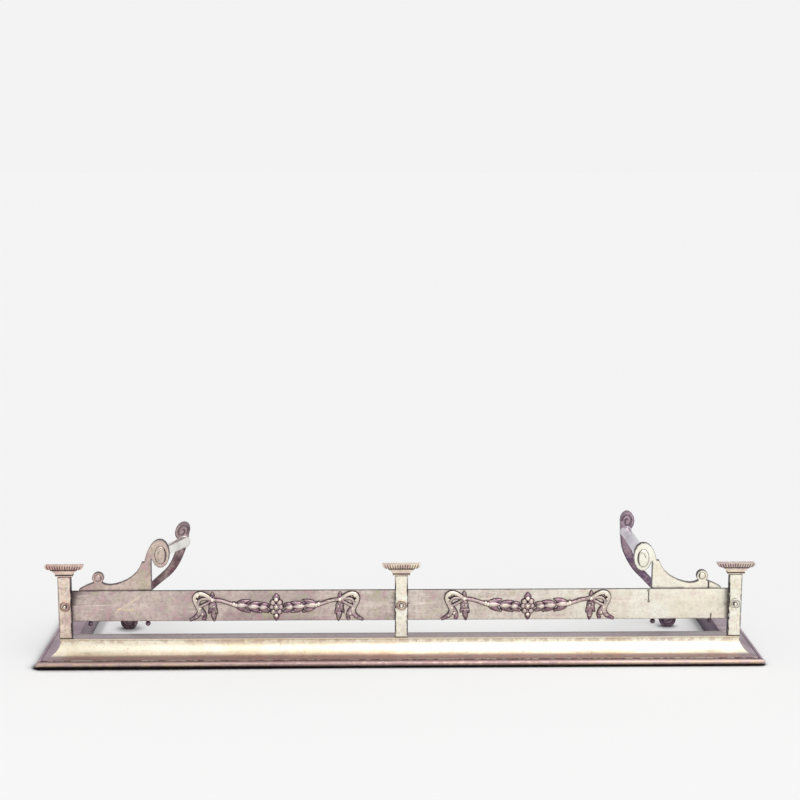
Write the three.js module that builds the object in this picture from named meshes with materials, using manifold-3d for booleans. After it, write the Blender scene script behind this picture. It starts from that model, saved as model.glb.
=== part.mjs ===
// Brass fire fender: a mitred kerb of three moulded runs, three capped posts, a flat front rail with
// two cast bow-and-swag mounts, and a scrolled tool rest at each end of the rail.
// Millimetres, +Z up. The front faces -Y and +X is to the right of someone looking at the front.
// The origin is on the hearth, under the centre of the whole fender.
import * as THREE from 'three';
import { mergeVertices } from 'three/addons/utils/BufferGeometryUtils.js';
import Module from 'manifold-3d';

const wasm = await Module();
wasm.setup();

// ---- driving dimensions ----

// whole fender
const overallLength = 1370;
const overallDepth = 330;

// kerb moulding, measured across the run (inwards from its front) and upwards
const kerbHeight = 45;
const kerbWidth = 72;
const kerbWall = 3;
const ledgeWidth = 32;
const fasciaHeight = 3;
const fasciaLip = 1;
const beadRadius = 6;
const beadRollAngle = 45; // degrees that the bead rolls back past its top
const coveFootHeight = 13.5;
const footLip = 8; // flat strip turned in under the bead
const mitreGap = 0.3;

// brackets brazed under the ledge, one behind each mitre
const bracketThickness = 3;
const bracketWidth = 24;
const bracketLeg = 70;
const bracketSetback = 0.5; // from the inner face of the cove

// posts
const postInset = 51.5; // an end post's centre, in from the end of the kerb
const postWidth = 24.5;
const postThickness = 12;
const postSetback = 1; // from the front edge of the ledge
const postCornerRadius = 3;
const tenonWidth = 12;
const tenonHeight = 8;
const tenonClearance = 0.3;

// post caps
const capTopHeight = 188;
const capWidth = 71.5;
const capDepth = 18;
const capRimHeight = 8;
const capRimOverhang = 8; // at each end, past the top of the flare
const capRimOverhangDepth = 1;
const flareHeight = 10;
const filletHeight = 3;
const filletWidth = 33;
const filletDepth = 15;
const ribPitch = 4.3; // gadroon ribs round the rim
const ribDepth = 1.2;

// front rail
const railHeight = 59.5;
const railBottom = 76;
const railThickness = 4;
const railEndCover = 3; // how far the rail stops short of a post's outer edge

// rosettes and the bolts through them
const rosetteHeight = 108.5;
const rosetteRadius = 10.5;
const rosetteThickness = 3;
const boltRadius = 2.2;
const boltHeadRadius = 4.4;
const boltHeadHeight = 3.6;
const nutRadius = 5;
const nutThickness = 3.5;
const boltEnd = 1.5; // thread showing past a nut
const holeClearance = 0.3;

// screws up through the ledge into the posts
const footScrewRadius = 1.8;
const footScrewHeadRadius = 3;
const footScrewHeadHeight = 2.2;
const footScrewReach = 14; // into the post

// swag mounts, measured from their centre along the rail and up from the rail's bottom edge
const swagCentre = 239; // from the fender's centre
const swagRelief = 7;
const knotReach = 122;
const knotRise = 41.5;
const knotRadius = 5.5;
const bowWidth = 36; // knot to the outer end of the loop
const ribbonHalfWidth = 3.2;
const ribbonHalfThickness = 2.8;
const ribbonLift = 1; // how far each crossing of the ribbon stands off
const curlRadius = 3.8;
const budHalfWidth = 3.8;
const budLength = 15;
const pendantHalfWidth = 8;
const pendantLength = 40;
const collarReach = 79;
const collarRise = 32;
const collarRadius = 4.8;
const laurelStep = 22.5; // one pair of leaves to the next
const laurelSag = 3; // how far each pair hangs below the last
const laurelLength = 28;
const laurelHalfWidth = 5;
const laurelSpread = 7;
const medallionHalfWidth = 12.5;
const medallionRise = 27;
const medallionHalfHeight = 19.5;
const medallionEndLength = 14;
const swagPinRadius = 1.8;
const swagNutRadius = 4;
const swagNutThickness = 2.5;

// scroll plates behind the rail's ends; an inset is measured from the end post's centre line towards
// the fender's centre, a height up from the hearth
const scrollPlateThickness = 10;
const scrollPlateBottom = 80;
const scrollPlateEndInset = 24.5;
const shoulderLift = 2; // the plate's outer end above the rail
const ballInset = 60.5;
const ballHeight = 159;
const ballRadius = 11;
const ballNeckAngle = 50; // degrees below level where the ball meets its shoulders
const spurInset = 143.5;
const spurHeight = 189.5;
const spurWidth = 5;
const voluteHalfWidth = 17.5;
const voluteHalfHeight = 27.5;
const rivetRadius = 2;
const rivetHeadRadius = 4;
const rivetHeadHeight = 2;
const rivetReach = 2.5; // into the rail
const rivetInset = 22; // the outer rivets, in from the plate's ends

// ball drops screwed up into the underside of a scroll plate
const dropRadius = 5;
const dropNeckRadius = 2.4;
const dropNeckLength = 6;
const dropCollarRadius = 3.6;
const dropStudRadius = 1.8;
const dropStudLength = 9;
const outerDropInset = 43.5;
const innerDropInset = 152.5;

// rest bars
const barRadius = 12;
const barTenonRadius = 4.5;
const barChamfer = 1;
const barRivetRadius = 6;
const barRivetHeight = 2;

// scrolled legs behind the rail
const legSetback = 236; // their front face, from the front of the fender
const legThickness = 12;
const legHeadHalfWidth = 15;
const legHeadHalfHeight = 19.5;
const legFootRadius = 17;
const legFootGap = 52; // foot to the return's inner wall
const legFootFlat = 0.5;
const legNeckInset = 0.5; // the strap's edge, in from the head's edge

// the two tool rests differ a little, as hand-bent work does
const leftEdgeInset = 161.5;
const leftVoluteInset = 179;
const leftVoluteHeight = 206.3;
const leftHeadInset = 200.5;
const leftHeadHeight = 208;
const leftHeadTilt = 30; // degrees
const leftBarShift = -4; // the bar's far end, from the middle of the leg's head
const leftBarDrop = 25.5;
const leftStrapTopWidth = 19;
const leftStrapWidth = 12.5;
const rightEdgeInset = 156.5;
const rightVoluteInset = 175;
const rightVoluteHeight = 196.5;
const rightHeadInset = 176.5;
const rightHeadHeight = 221.5;
const rightHeadTilt = 0; // degrees
const rightBarShift = -2.5;
const rightBarDrop = 21.5;
const rightStrapTopWidth = 18;
const rightStrapWidth = 14.5;

// the middle of each leg's strap, in shares of its reach outwards and its drop, from head to foot
const leftSweep = [
  [0, 0], [0.02, 0.08], [0.06, 0.19], [0.12, 0.3], [0.18, 0.38], [0.27, 0.46],
  [0.39, 0.53], [0.51, 0.6], [0.69, 0.71], [0.87, 0.83], [0.97, 0.92], [1, 1],
];
const rightSweep = [
  [0, 0], [0.005, 0.08], [0.02, 0.16], [0.05, 0.27], [0.11, 0.35], [0.18, 0.42],
  [0.28, 0.49], [0.4, 0.55], [0.53, 0.62], [0.69, 0.7], [0.87, 0.8], [0.97, 0.91], [1, 1],
];

// ---- places worked out from the dimensions ----

const halfLength = overallLength / 2;
const postSpacing = halfLength - postInset; // middle post to an end post
const frontY = -overallDepth / 2;
const rearY = overallDepth / 2;
const ledgeFront = kerbWidth - ledgeWidth;
const postFrontY = frontY + ledgeFront + postSetback;
const railFrontY = postFrontY + postThickness;
const railBackY = railFrontY + railThickness;
const railTop = railBottom + railHeight;
const capHeight = filletHeight + flareHeight + capRimHeight;
const capBottom = capTopHeight - capHeight;
const postCentreY = postFrontY + postThickness / 2;
const plateFrontY = railBackY;
const plateBackY = plateFrontY + scrollPlateThickness;
const legFrontY = frontY + legSetback;
const legBackY = legFrontY + legThickness;
const postPlaces = [['left', -postSpacing], ['middle', 0], ['right', postSpacing]];
const scrollPlateEnd = postSpacing - scrollPlateEndInset;
const ballReach = postSpacing - ballInset;
const spurReach = postSpacing - spurInset;
const dropReaches = [postSpacing - outerDropInset, postSpacing - innerDropInset];
const legFootReach = halfLength - kerbWidth - legFootGap - legFootRadius;

const restSides = [
  {
    side: 'left',
    sign: -1,
    edgeReach: postSpacing - leftEdgeInset,
    volute: [postSpacing - leftVoluteInset, leftVoluteHeight],
    head: [postSpacing - leftHeadInset, leftHeadHeight],
    headTilt: leftHeadTilt,
    barEnd: [postSpacing - leftHeadInset + leftBarShift, leftHeadHeight - leftBarDrop],
    strapWidths: [leftStrapTopWidth, leftStrapWidth],
    sweep: leftSweep,
  },
  {
    side: 'right',
    sign: 1,
    edgeReach: postSpacing - rightEdgeInset,
    volute: [postSpacing - rightVoluteInset, rightVoluteHeight],
    head: [postSpacing - rightHeadInset, rightHeadHeight],
    headTilt: rightHeadTilt,
    barEnd: [postSpacing - rightHeadInset + rightBarShift, rightHeadHeight - rightBarDrop],
    strapWidths: [rightStrapTopWidth, rightStrapWidth],
    sweep: rightSweep,
  },
];

// ---- finishes ----

const brassPale = { color: 0xc9b99a, roughness: 0.42, metalness: 0.9 };
const brassDull = { color: 0xa8978a, roughness: 0.5, metalness: 0.85 };
const brassDark = { color: 0x7d6566, roughness: 0.5, metalness: 0.85 };
const brassShade = { color: 0x6b5560, roughness: 0.55, metalness: 0.8 };
const steel = { color: 0x77726c, roughness: 0.55, metalness: 0.8 };

// ---- tools for shapes ----

function weld(geometry) {
  const bare = geometry.clone();
  bare.deleteAttribute('normal');
  bare.deleteAttribute('uv');
  const merged = mergeVertices(bare, 1e-4);
  const kept = [];
  const index = merged.getIndex();
  for (let i = 0; i < index.count; i += 3) {
    const [a, b, c] = [index.getX(i), index.getX(i + 1), index.getX(i + 2)];
    if (a !== b && b !== c && c !== a) kept.push(a, b, c);
  }
  merged.setIndex(kept);
  return merged;
}

function solidFrom(geometry) {
  const welded = weld(geometry);
  return new wasm.Manifold(new wasm.Mesh({
    numProp: 3,
    vertProperties: Float32Array.from(welded.getAttribute('position').array),
    triVerts: Uint32Array.from(welded.getIndex().array),
  }));
}

function geometryFrom(solid) {
  const mesh = solid.getMesh();
  const geometry = new THREE.BufferGeometry();
  geometry.setAttribute('position', new THREE.BufferAttribute(Float32Array.from(mesh.vertProperties), 3));
  geometry.setIndex(Array.from(mesh.triVerts));
  return geometry;
}

function join(geometries) {
  return geometryFrom(geometries.map(solidFrom).reduce((sum, solid) => sum.add(solid)));
}

function cut(geometry, tools) {
  return geometryFrom(tools.map(solidFrom).reduce((rest, tool) => rest.subtract(tool), solidFrom(geometry)));
}

// a flat outline, drawn in X and Z, given thickness backwards from y
function plate(outline, y, thickness, curveSegments = 12) {
  const geometry = new THREE.ExtrudeGeometry(outline, { depth: thickness, bevelEnabled: false, curveSegments });
  return geometry.rotateX(Math.PI / 2).translate(0, y + thickness, 0);
}

function rodAlongY(radius, y0, y1, x, z, sides = 12) {
  return new THREE.CylinderGeometry(radius, radius, y1 - y0, sides).translate(x, (y0 + y1) / 2, z);
}

function rodAlongZ(radius, z0, z1, x, y, sides = 12) {
  return new THREE.CylinderGeometry(radius, radius, z1 - z0, sides)
    .rotateX(Math.PI / 2)
    .translate(x, y, (z0 + z1) / 2);
}

// a turned shape: the profile lists radius and height, closed on the axis or on itself
function turned(profile, sides) {
  return new THREE.LatheGeometry(profile.map(([r, h]) => new THREE.Vector2(r, h)), sides);
}

function domeProfile(radius, height, base, steps) {
  return Array.from({ length: steps + 1 }, (_, i) => {
    const angle = (Math.PI / 2) * (1 - i / steps);
    return [i === 0 ? 0 : radius * Math.cos(angle), base - height * Math.sin(angle)];
  });
}

function arcPoints(cx, cy, rx, ry, from, to, steps) {
  return Array.from({ length: steps + 1 }, (_, i) => {
    const angle = THREE.MathUtils.degToRad(from + ((to - from) * i) / steps);
    return new THREE.Vector2(cx + rx * Math.cos(angle), cy + ry * Math.sin(angle));
  });
}

const part = new THREE.Group();

function addPiece(name, geometry, finish) {
  const mesh = new THREE.Mesh(weld(geometry), new THREE.MeshStandardMaterial(finish));
  mesh.name = name;
  part.add(mesh);
}

// ---- kerb ----

// the moulding's section: x runs inwards from the front of the bead, y runs up
function kerbSection() {
  const coveFront = beadRadius * (1 + Math.sin(THREE.MathUtils.degToRad(beadRollAngle)));
  const coveTop = kerbHeight - fasciaHeight;
  const coveWidth = ledgeFront + fasciaLip - coveFront;
  const coveHeight = coveTop - coveFootHeight;
  const innerAngle = THREE.MathUtils.radToDeg(Math.asin(kerbWall / (coveWidth + kerbWall)));
  return new THREE.Shape([
    ...arcPoints(beadRadius, beadRadius, beadRadius, beadRadius, 270, 90 - beadRollAngle, 15),
    ...arcPoints(coveFront, coveTop, coveWidth, coveHeight, -90, 0, 14),
    new THREE.Vector2(ledgeFront, coveTop),
    new THREE.Vector2(ledgeFront, kerbHeight),
    new THREE.Vector2(kerbWidth, kerbHeight),
    new THREE.Vector2(kerbWidth, 0),
    new THREE.Vector2(kerbWidth - kerbWall, 0),
    new THREE.Vector2(kerbWidth - kerbWall, coveTop),
    ...arcPoints(coveFront, coveTop, coveWidth + kerbWall, coveHeight + kerbWall, 0, innerAngle - 90, 10),
    new THREE.Vector2(coveFront + kerbWall, 2 * beadRadius - kerbWall),
    ...arcPoints(beadRadius, beadRadius, beadRadius - kerbWall, beadRadius - kerbWall, 90, 270, 8),
    new THREE.Vector2(beadRadius + footLip, kerbWall),
    new THREE.Vector2(beadRadius + footLip, 0),
  ]);
}

// a run of the moulding; place turns (distance in from the front, height, 0 at one end or 1 at the
// other) into a point of the fender
function kerbRun(place) {
  const geometry = new THREE.ExtrudeGeometry(kerbSection(), { depth: 1, bevelEnabled: false });
  const position = geometry.getAttribute('position');
  for (let i = 0; i < position.count; i += 1) {
    position.setXYZ(i, ...place(position.getX(i), position.getY(i), position.getZ(i)));
  }
  return geometry;
}

const mitreSetback = mitreGap / 2;

const kerbFrontRun = kerbRun((inward, up, end) => {
  const reach = halfLength - inward - mitreSetback;
  return [end > 0.5 ? reach : -reach, frontY + inward, up];
});

const kerbReturnRun = (sign) => kerbRun((inward, up, end) => {
  const atFront = sign > 0 ? end < 0.5 : end > 0.5;
  return [sign * (halfLength - inward), atFront ? frontY + inward + mitreSetback : rearY, up];
});

const footScrewHoleRadius = footScrewRadius + holeClearance;
const screwHolesInLedge = postPlaces.map(([, x]) => (
  rodAlongZ(footScrewHoleRadius, kerbHeight - 2 * kerbWall, kerbHeight + kerbWall, x, postCentreY)
));

addPiece('kerb_front', cut(kerbFrontRun, screwHolesInLedge), brassPale);
addPiece('kerb_left_return', kerbReturnRun(-1), brassDull);
addPiece('kerb_right_return', kerbReturnRun(1), brassDull);

function mitreBracket(sign) {
  const near = ledgeFront + fasciaLip + kerbWall + bracketSetback;
  const far = near + bracketWidth;
  const end = near + bracketLeg;
  const corners = [[near, near], [end, near], [end, far], [far, far], [far, end], [near, end]];
  const outline = new THREE.Shape(corners.map(([x, y]) => (
    new THREE.Vector2(sign * (halfLength - x), frontY + y)
  )));
  const top = kerbHeight - fasciaHeight;
  const blank = new THREE.ExtrudeGeometry(outline, { depth: bracketThickness, bevelEnabled: false })
    .translate(0, 0, top - bracketThickness);
  const hole = rodAlongZ(footScrewHoleRadius, top - 2 * bracketThickness, top + 1,
    sign * postSpacing, postCentreY);
  return cut(blank, [hole]);
}

addPiece('left_mitre_bracket', mitreBracket(-1), steel);
addPiece('right_mitre_bracket', mitreBracket(1), steel);

// ---- posts ----

function postOutline(x) {
  const half = postWidth / 2;
  const r = postCornerRadius;
  return new THREE.Shape([
    ...arcPoints(x - half + r, kerbHeight + r, r, r, 180, 270, 4),
    ...arcPoints(x + half - r, kerbHeight + r, r, r, 270, 360, 4),
    new THREE.Vector2(x + half, capBottom),
    new THREE.Vector2(x + tenonWidth / 2, capBottom),
    new THREE.Vector2(x + tenonWidth / 2, capBottom + tenonHeight),
    new THREE.Vector2(x - tenonWidth / 2, capBottom + tenonHeight),
    new THREE.Vector2(x - tenonWidth / 2, capBottom),
    new THREE.Vector2(x - half, capBottom),
  ]);
}

function post(x) {
  const boltHole = rodAlongY(boltRadius + holeClearance, postFrontY - 1, railFrontY + 1, x, rosetteHeight);
  const screwHole = rodAlongZ(footScrewHoleRadius, kerbHeight - 1,
    kerbHeight + footScrewReach + holeClearance, x, postCentreY);
  return cut(plate(postOutline(x), postFrontY, postThickness), [boltHole, screwHole]);
}

for (const [place, x] of postPlaces) addPiece(`${place}_post`, post(x), brassPale);

// ---- caps ----

// the rim's plan: a rectangle whose four sides are a row of half-round ribs
function ribbedOutline(width, depth) {
  const points = [];
  const sides = [[width, depth, 0], [depth, width, 90], [width, depth, 180], [depth, width, 270]];
  for (const [run, across, turn] of sides) {
    const ribs = Math.round(run / ribPitch);
    for (let rib = 0; rib < ribs; rib += 1) {
      for (let step = 0; step < 2; step += 1) {
        const along = -run / 2 + (run * (rib + step / 2)) / ribs;
        const out = -across / 2 + ribDepth * (1 - Math.sin((Math.PI * step) / 2));
        const point = new THREE.Vector2(along, out);
        points.push(point.rotateAround(new THREE.Vector2(), THREE.MathUtils.degToRad(turn)));
      }
    }
  }
  return new THREE.Shape(points);
}

// the flare below the rim, seen from one side: a fillet, then a hollow curve out to the top
function flareOutline(bottomWidth, topWidth) {
  const half = bottomWidth / 2;
  const reach = (topWidth - bottomWidth) / 2;
  const profile = new THREE.Path();
  profile.moveTo(half, 0);
  profile.lineTo(half, filletHeight);
  profile.quadraticCurveTo(half + reach * 0.35, filletHeight + flareHeight * 0.55,
    half + reach, filletHeight + flareHeight);
  const right = profile.getPoints(5);
  return new THREE.Shape([...right, ...right.map((p) => new THREE.Vector2(-p.x, p.y)).reverse()]);
}

function cap(x) {
  const outline = ribbedOutline(capWidth, capDepth);
  const rim = new THREE.ExtrudeGeometry(outline, { depth: capRimHeight, bevelEnabled: false })
    .translate(0, 0, filletHeight + flareHeight);
  const frontView = plate(flareOutline(filletWidth, capWidth - 2 * capRimOverhang), -capDepth, 2 * capDepth);
  const sideView = plate(flareOutline(filletDepth, capDepth - 2 * capRimOverhangDepth), -capWidth, 2 * capWidth)
    .rotateZ(Math.PI / 2);
  const flare = geometryFrom(solidFrom(frontView).intersect(solidFrom(sideView)));
  const mortise = new THREE.BoxGeometry(tenonWidth + 2 * tenonClearance, postThickness + 2 * tenonClearance,
    2 * (tenonHeight + tenonClearance));
  return cut(join([rim, flare]), [mortise]).translate(x, postCentreY, capBottom);
}

for (const [place, x] of postPlaces) addPiece(`${place}_post_cap`, cap(x), brassDull);

// ---- screws under the posts ----

// the end posts stand over the mitre brackets, so their screws start one bracket lower
function footScrew(x) {
  const seat = kerbHeight - fasciaHeight - (x === 0 ? 0 : bracketThickness);
  return turned([
    [0, seat - footScrewHeadHeight],
    [footScrewHeadRadius * 0.8, seat - footScrewHeadHeight],
    [footScrewHeadRadius, seat - footScrewHeadHeight / 2],
    [footScrewHeadRadius, seat],
    [footScrewRadius, seat],
    [footScrewRadius, kerbHeight + footScrewReach - 1],
    [0, kerbHeight + footScrewReach],
  ], 12).rotateX(Math.PI / 2).translate(x, postCentreY, 0);
}

for (const [place, x] of postPlaces) addPiece(`${place}_post_screw`, footScrew(x), steel);

// ---- swag mounts ----

// a leaf or bud: pointed at both ends, flat, lying from one point to another on the rail's face
function leaf(from, to, halfWidth, halfDepth, sides = 5) {
  const start = new THREE.Vector2(...from);
  const along = new THREE.Vector2(...to).sub(start);
  const length = along.length();
  const profile = [[0, 0], [0.9, 0.25], [0.9, 0.6], [0, 1]];
  return turned(profile.map(([r, h]) => [r * halfWidth, h * length]), sides)
    .scale(1, 1, halfDepth / halfWidth)
    .rotateZ(along.angle() - Math.PI / 2)
    .rotateX(Math.PI / 2)
    .translate(start.x, 0, start.y);
}

function bead(at, radius, lift = 0) {
  return new THREE.SphereGeometry(radius, 6, 4).translate(at[0], -lift, at[1]);
}

// a ribbon or stem: the section is half-widths across the rail's face and out from it
function strand(points, halfAcross, halfOut, steps) {
  const path = new THREE.CatmullRomCurve3(points.map(([x, z, lift = 0]) => new THREE.Vector3(x, -lift, z)));
  const section = new THREE.Shape(arcPoints(0, 0, halfAcross, halfOut, 0, 270, 3));
  return new THREE.ExtrudeGeometry(section, { steps, extrudePath: path, bevelEnabled: false });
}

const swagPinReaches = [-knotReach, 0, knotReach];
const swagPinRise = (reach) => (reach === 0 ? medallionRise : knotRise);

function swagHalf(sign) {
  const at = (reach, rise, lift) => [sign * reach, rise, lift];
  // a point of the bow, in shares of its width out from the knot and of the knot's height
  const bow = (out, up, lifts = 0) => at(knotReach + out * bowWidth, knotRise * (1 + up), lifts * ribbonLift);
  const ribbon = (points, steps) => (
    strand(points.map((point) => bow(...point)), ribbonHalfWidth, ribbonHalfThickness, steps)
  );
  const laurel = (pair, run, rise, share) => {
    const [reach, height] = [collarReach - pair * laurelStep, collarRise - pair * laurelSag];
    const tip = at(reach - run, height + rise);
    return leaf(at(reach, height), tip, share * laurelHalfWidth, laurelHalfWidth * 0.85);
  };
  return [
    // knot, the bud above it and the leaf that hangs from it
    bead(bow(0, 0), knotRadius, ribbonLift),
    leaf(bow(0, 0), bow(0.03, budLength / knotRise), budHalfWidth, budHalfWidth),
    leaf(bow(0, -0.03), bow(0.03, -pendantLength / knotRise), pendantHalfWidth, pendantHalfWidth / 2),
    // the bow's loop, its two tails and the curls on them
    ribbon([[0, 0, 1], [0.67, 0.28, 2], [1, 0.25, 3], [1.08, 0.11, 3], [0.97, -0.13, 2], [0.83, -0.35, 3],
      [0.5, -0.2, 2], [0, 0, 1]], 13),
    ribbon([[0.83, -0.35, 2], [0.68, -0.52, 3], [0.78, -0.71, 2], [1.05, -0.88, 2], [1.33, -0.94, 1]], 6),
    ribbon([[0.83, -0.35, 1], [0.58, -0.57, 2], [0.53, -0.8, 2], [0.6, -0.93, 1]], 4),
    bead(bow(0.98, 0.22), curlRadius, ribbonLift),
    bead(bow(0.72, -0.5), curlRadius, ribbonLift),
    bead(bow(1.05, -0.86), curlRadius, ribbonLift),
    // the stem and its collar
    strand([bow(0, 0, 1), at((knotReach + 2 * collarReach) / 3, knotRise - laurelSag, ribbonLift),
      at(collarReach, collarRise, ribbonLift)], ribbonHalfWidth, ribbonHalfThickness, 4),
    bead(at(collarReach, collarRise), collarRadius, ribbonLift),
    // laurel leaves, lapped one over the next towards the medallion
    ...[0, 1].flatMap((pair) => [
      laurel(pair, laurelLength, laurelSpread, 0.9),
      laurel(pair, laurelLength * 0.9, -2 * laurelSpread, 1),
      laurel(pair, laurelLength * 1.4, -laurelSag, 1.3),
    ]),
    leaf(at(collarReach - 1.6 * laurelStep, collarRise - 2 * laurelSag),
      at(medallionHalfWidth / 2, medallionRise), 1.6 * laurelHalfWidth, laurelHalfWidth),
  ];
}

function swagMount(centre) {
  const end = medallionRise - medallionHalfHeight;
  const top = medallionRise + medallionHalfHeight;
  const middle = [
    leaf([0, end], [0, top], medallionHalfWidth, knotRadius, 8),
    bead([0, medallionRise], knotRadius, swagRelief - knotRadius),
    leaf([0, top - medallionEndLength / 2], [0, top + medallionEndLength / 2], budHalfWidth, budHalfWidth),
    leaf([0, end + medallionEndLength / 2], [0, end - medallionEndLength / 2], budHalfWidth, budHalfWidth),
  ];
  const casting = solidFrom(join([...middle, ...swagHalf(-1), ...swagHalf(1)]));
  const slab = new THREE.BoxGeometry(4 * knotReach, swagRelief, 4 * railHeight)
    .translate(0, -swagRelief / 2, 0);
  const trimmed = geometryFrom(casting.intersect(solidFrom(slab)));
  const pinEnd = railThickness + swagNutThickness + boltEnd;
  const pins = swagPinReaches.map((reach) => (
    rodAlongY(swagPinRadius, -swagPinRadius, pinEnd, reach, swagPinRise(reach), 8)
  ));
  return join([trimmed, ...pins]).translate(centre, railFrontY, railBottom);
}

const swagPlaces = [['left', -swagCentre], ['right', swagCentre]];
for (const [side, x] of swagPlaces) addPiece(`${side}_swag_mount`, swagMount(x), brassDark);

const swagPinPlaces = swagPlaces.flatMap(([, x]) => swagPinReaches.map((reach) => (
  [x + reach, railBottom + swagPinRise(reach)]
)));

// a six-sided nut whose front rests on the plane y
function nut(radius, bore, thickness, y, x, z) {
  const hole = rodAlongY(bore, y - 1, y + thickness + 1, x, z);
  return cut(rodAlongY(radius, y, y + thickness, x, z, 6), [hole]);
}

swagPinPlaces.forEach(([x, z], i) => {
  const shape = nut(swagNutRadius, swagPinRadius + holeClearance, swagNutThickness, railBackY, x, z);
  addPiece(`swag_nut_${i + 1}`, shape, steel);
});

// ---- rosettes and bolts ----

function rosette(x) {
  const bore = boltRadius + holeClearance;
  const t = rosetteThickness;
  return turned([
    [bore, 0], [bore, -t * 0.7], [rosetteRadius * 0.52, -t * 0.7], [rosetteRadius * 0.62, -t],
    [rosetteRadius * 0.86, -t], [rosetteRadius, -t * 0.5], [rosetteRadius, 0], [bore, 0],
  ], 16).translate(x, postFrontY, rosetteHeight);
}

function rosetteBolt(x) {
  const seat = postFrontY - rosetteThickness * 0.7;
  const end = railBackY + nutThickness + boltEnd;
  return turned([
    ...domeProfile(boltHeadRadius, boltHeadHeight, seat, 4),
    [boltRadius, seat], [boltRadius, end], [0, end],
  ], 12).translate(x, 0, rosetteHeight);
}

for (const [place, x] of postPlaces) {
  addPiece(`${place}_rosette`, rosette(x), brassDull);
  addPiece(`${place}_rosette_bolt`, rosetteBolt(x), brassPale);
  addPiece(`${place}_rosette_nut`,
    nut(nutRadius, boltRadius + holeClearance, nutThickness, railBackY, x, rosetteHeight), brassDull);
}

// ---- scrolled tool rests ----

const mirrored = (shape, sign) => (
  new THREE.Shape(shape.getPoints(7).map((p) => new THREE.Vector2(sign * p.x, p.y)))
);

// the plate behind the rail: it rises from its outer end past a ball to a spur and an upright volute
function scrollPlateOutline(rest) {
  const [voluteX, voluteZ] = rest.volute;
  const top = voluteZ + voluteHalfHeight;
  const run = ballReach - spurReach;
  const rise = spurHeight - ballHeight;
  const nearBall = (out, up) => [ballReach + out * ballRadius, ballHeight + up * ballRadius];
  const neck = THREE.MathUtils.degToRad(ballNeckAngle);
  const outline = new THREE.Shape();
  outline.moveTo(rest.edgeReach, scrollPlateBottom);
  outline.lineTo(scrollPlateEnd, scrollPlateBottom);
  outline.lineTo(scrollPlateEnd, railTop + shoulderLift);
  outline.quadraticCurveTo(...nearBall(1.8, -1.1), ...nearBall(Math.cos(neck), -Math.sin(neck)));
  outline.absarc(ballReach, ballHeight, ballRadius, -neck, Math.PI + neck, false);
  outline.quadraticCurveTo(...nearBall(-1.1, -1.2), ...nearBall(-2.2, -1.2));
  outline.bezierCurveTo(ballReach - 0.55 * run, ballHeight - ballRadius,
    spurReach + 0.1 * run, spurHeight - 0.92 * rise, spurReach, spurHeight);
  outline.lineTo(spurReach - spurWidth, spurHeight);
  outline.bezierCurveTo(spurReach - voluteHalfWidth / 2, spurHeight + 0.65 * voluteHalfHeight,
    voluteX + voluteHalfWidth, top, voluteX, top);
  outline.lineTo(voluteX, voluteZ);
  outline.lineTo(rest.edgeReach, voluteZ - 0.36 * voluteHalfHeight);
  return outline;
}

function voluteOutline(rest) {
  const outline = new THREE.Shape();
  outline.absellipse(...rest.volute, voluteHalfWidth, voluteHalfHeight, 0, Math.PI * 2, false, 0);
  return outline;
}

// the bar leans from its place in the plate's volute to its place in the leg's
function leanToPlace(geometry, rest) {
  const [x, z] = rest.volute;
  const run = legFrontY - plateBackY;
  const across = (rest.barEnd[0] - x) / run;
  const up = (rest.barEnd[1] - z) / run;
  const lean = new THREE.Matrix4().set(
    rest.sign, rest.sign * across, 0, 0,
    0, 1, 0, 0,
    0, up, 1, 0,
    0, 0, 0, 1,
  );
  geometry.translate(x, -plateBackY, z).applyMatrix4(lean).translate(0, plateBackY, 0);
  if (rest.sign < 0) {
    const index = geometry.getIndex();
    geometry.setIndex(Array.from(index.array).reverse());
  }
  return geometry;
}

function restBar(rest) {
  const r = barRadius;
  const profile = [
    ...domeProfile(barRivetRadius, barRivetHeight, plateFrontY, 3),
    [barTenonRadius, plateFrontY], [barTenonRadius, plateBackY],
    [r - barChamfer, plateBackY], [r, plateBackY + barChamfer],
    [r, legFrontY - barChamfer], [r - barChamfer, legFrontY],
    [barTenonRadius, legFrontY], [barTenonRadius, legBackY], [barRivetRadius, legBackY],
    [barRivetRadius * 0.7, legBackY + barRivetHeight * 0.75], [0, legBackY + barRivetHeight],
  ];
  return leanToPlace(turned(profile, 16), rest);
}

function tenonHole(rest, y0, y1) {
  return leanToPlace(rodAlongY(barTenonRadius + holeClearance, y0, y1, 0, 0, 16), rest);
}

const rivetPlaces = (rest) => [
  rest.edgeReach + rivetInset,
  (rest.edgeReach + scrollPlateEnd) / 2,
  scrollPlateEnd - rivetInset,
].map((reach) => [rest.sign * reach, railBottom + railHeight / 2]);

function scrollPlate(rest) {
  const blank = join([scrollPlateOutline(rest), voluteOutline(rest)]
    .map((outline) => plate(mirrored(outline, rest.sign), plateFrontY, scrollPlateThickness)));
  const rivetHoles = rivetPlaces(rest).map(([x, z]) => (
    rodAlongY(rivetRadius + holeClearance, plateFrontY - 1, plateBackY + 1, x, z, 8)
  ));
  const studHoles = dropReaches.map((reach) => rodAlongZ(dropStudRadius + holeClearance, scrollPlateBottom - 1,
    scrollPlateBottom + dropStudLength + holeClearance, rest.sign * reach, (plateFrontY + plateBackY) / 2, 8));
  return cut(blank, [...rivetHoles, ...studHoles, tenonHole(rest, plateFrontY - 1, plateBackY + 1)]);
}

function plateRivet(x, z) {
  const tip = railBackY - rivetReach;
  return turned([
    [0, tip], [rivetRadius, tip], [rivetRadius, plateBackY], [rivetHeadRadius, plateBackY],
    [rivetHeadRadius * 0.75, plateBackY + rivetHeadHeight * 0.7], [0, plateBackY + rivetHeadHeight],
  ], 8).translate(x, 0, z);
}

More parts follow.
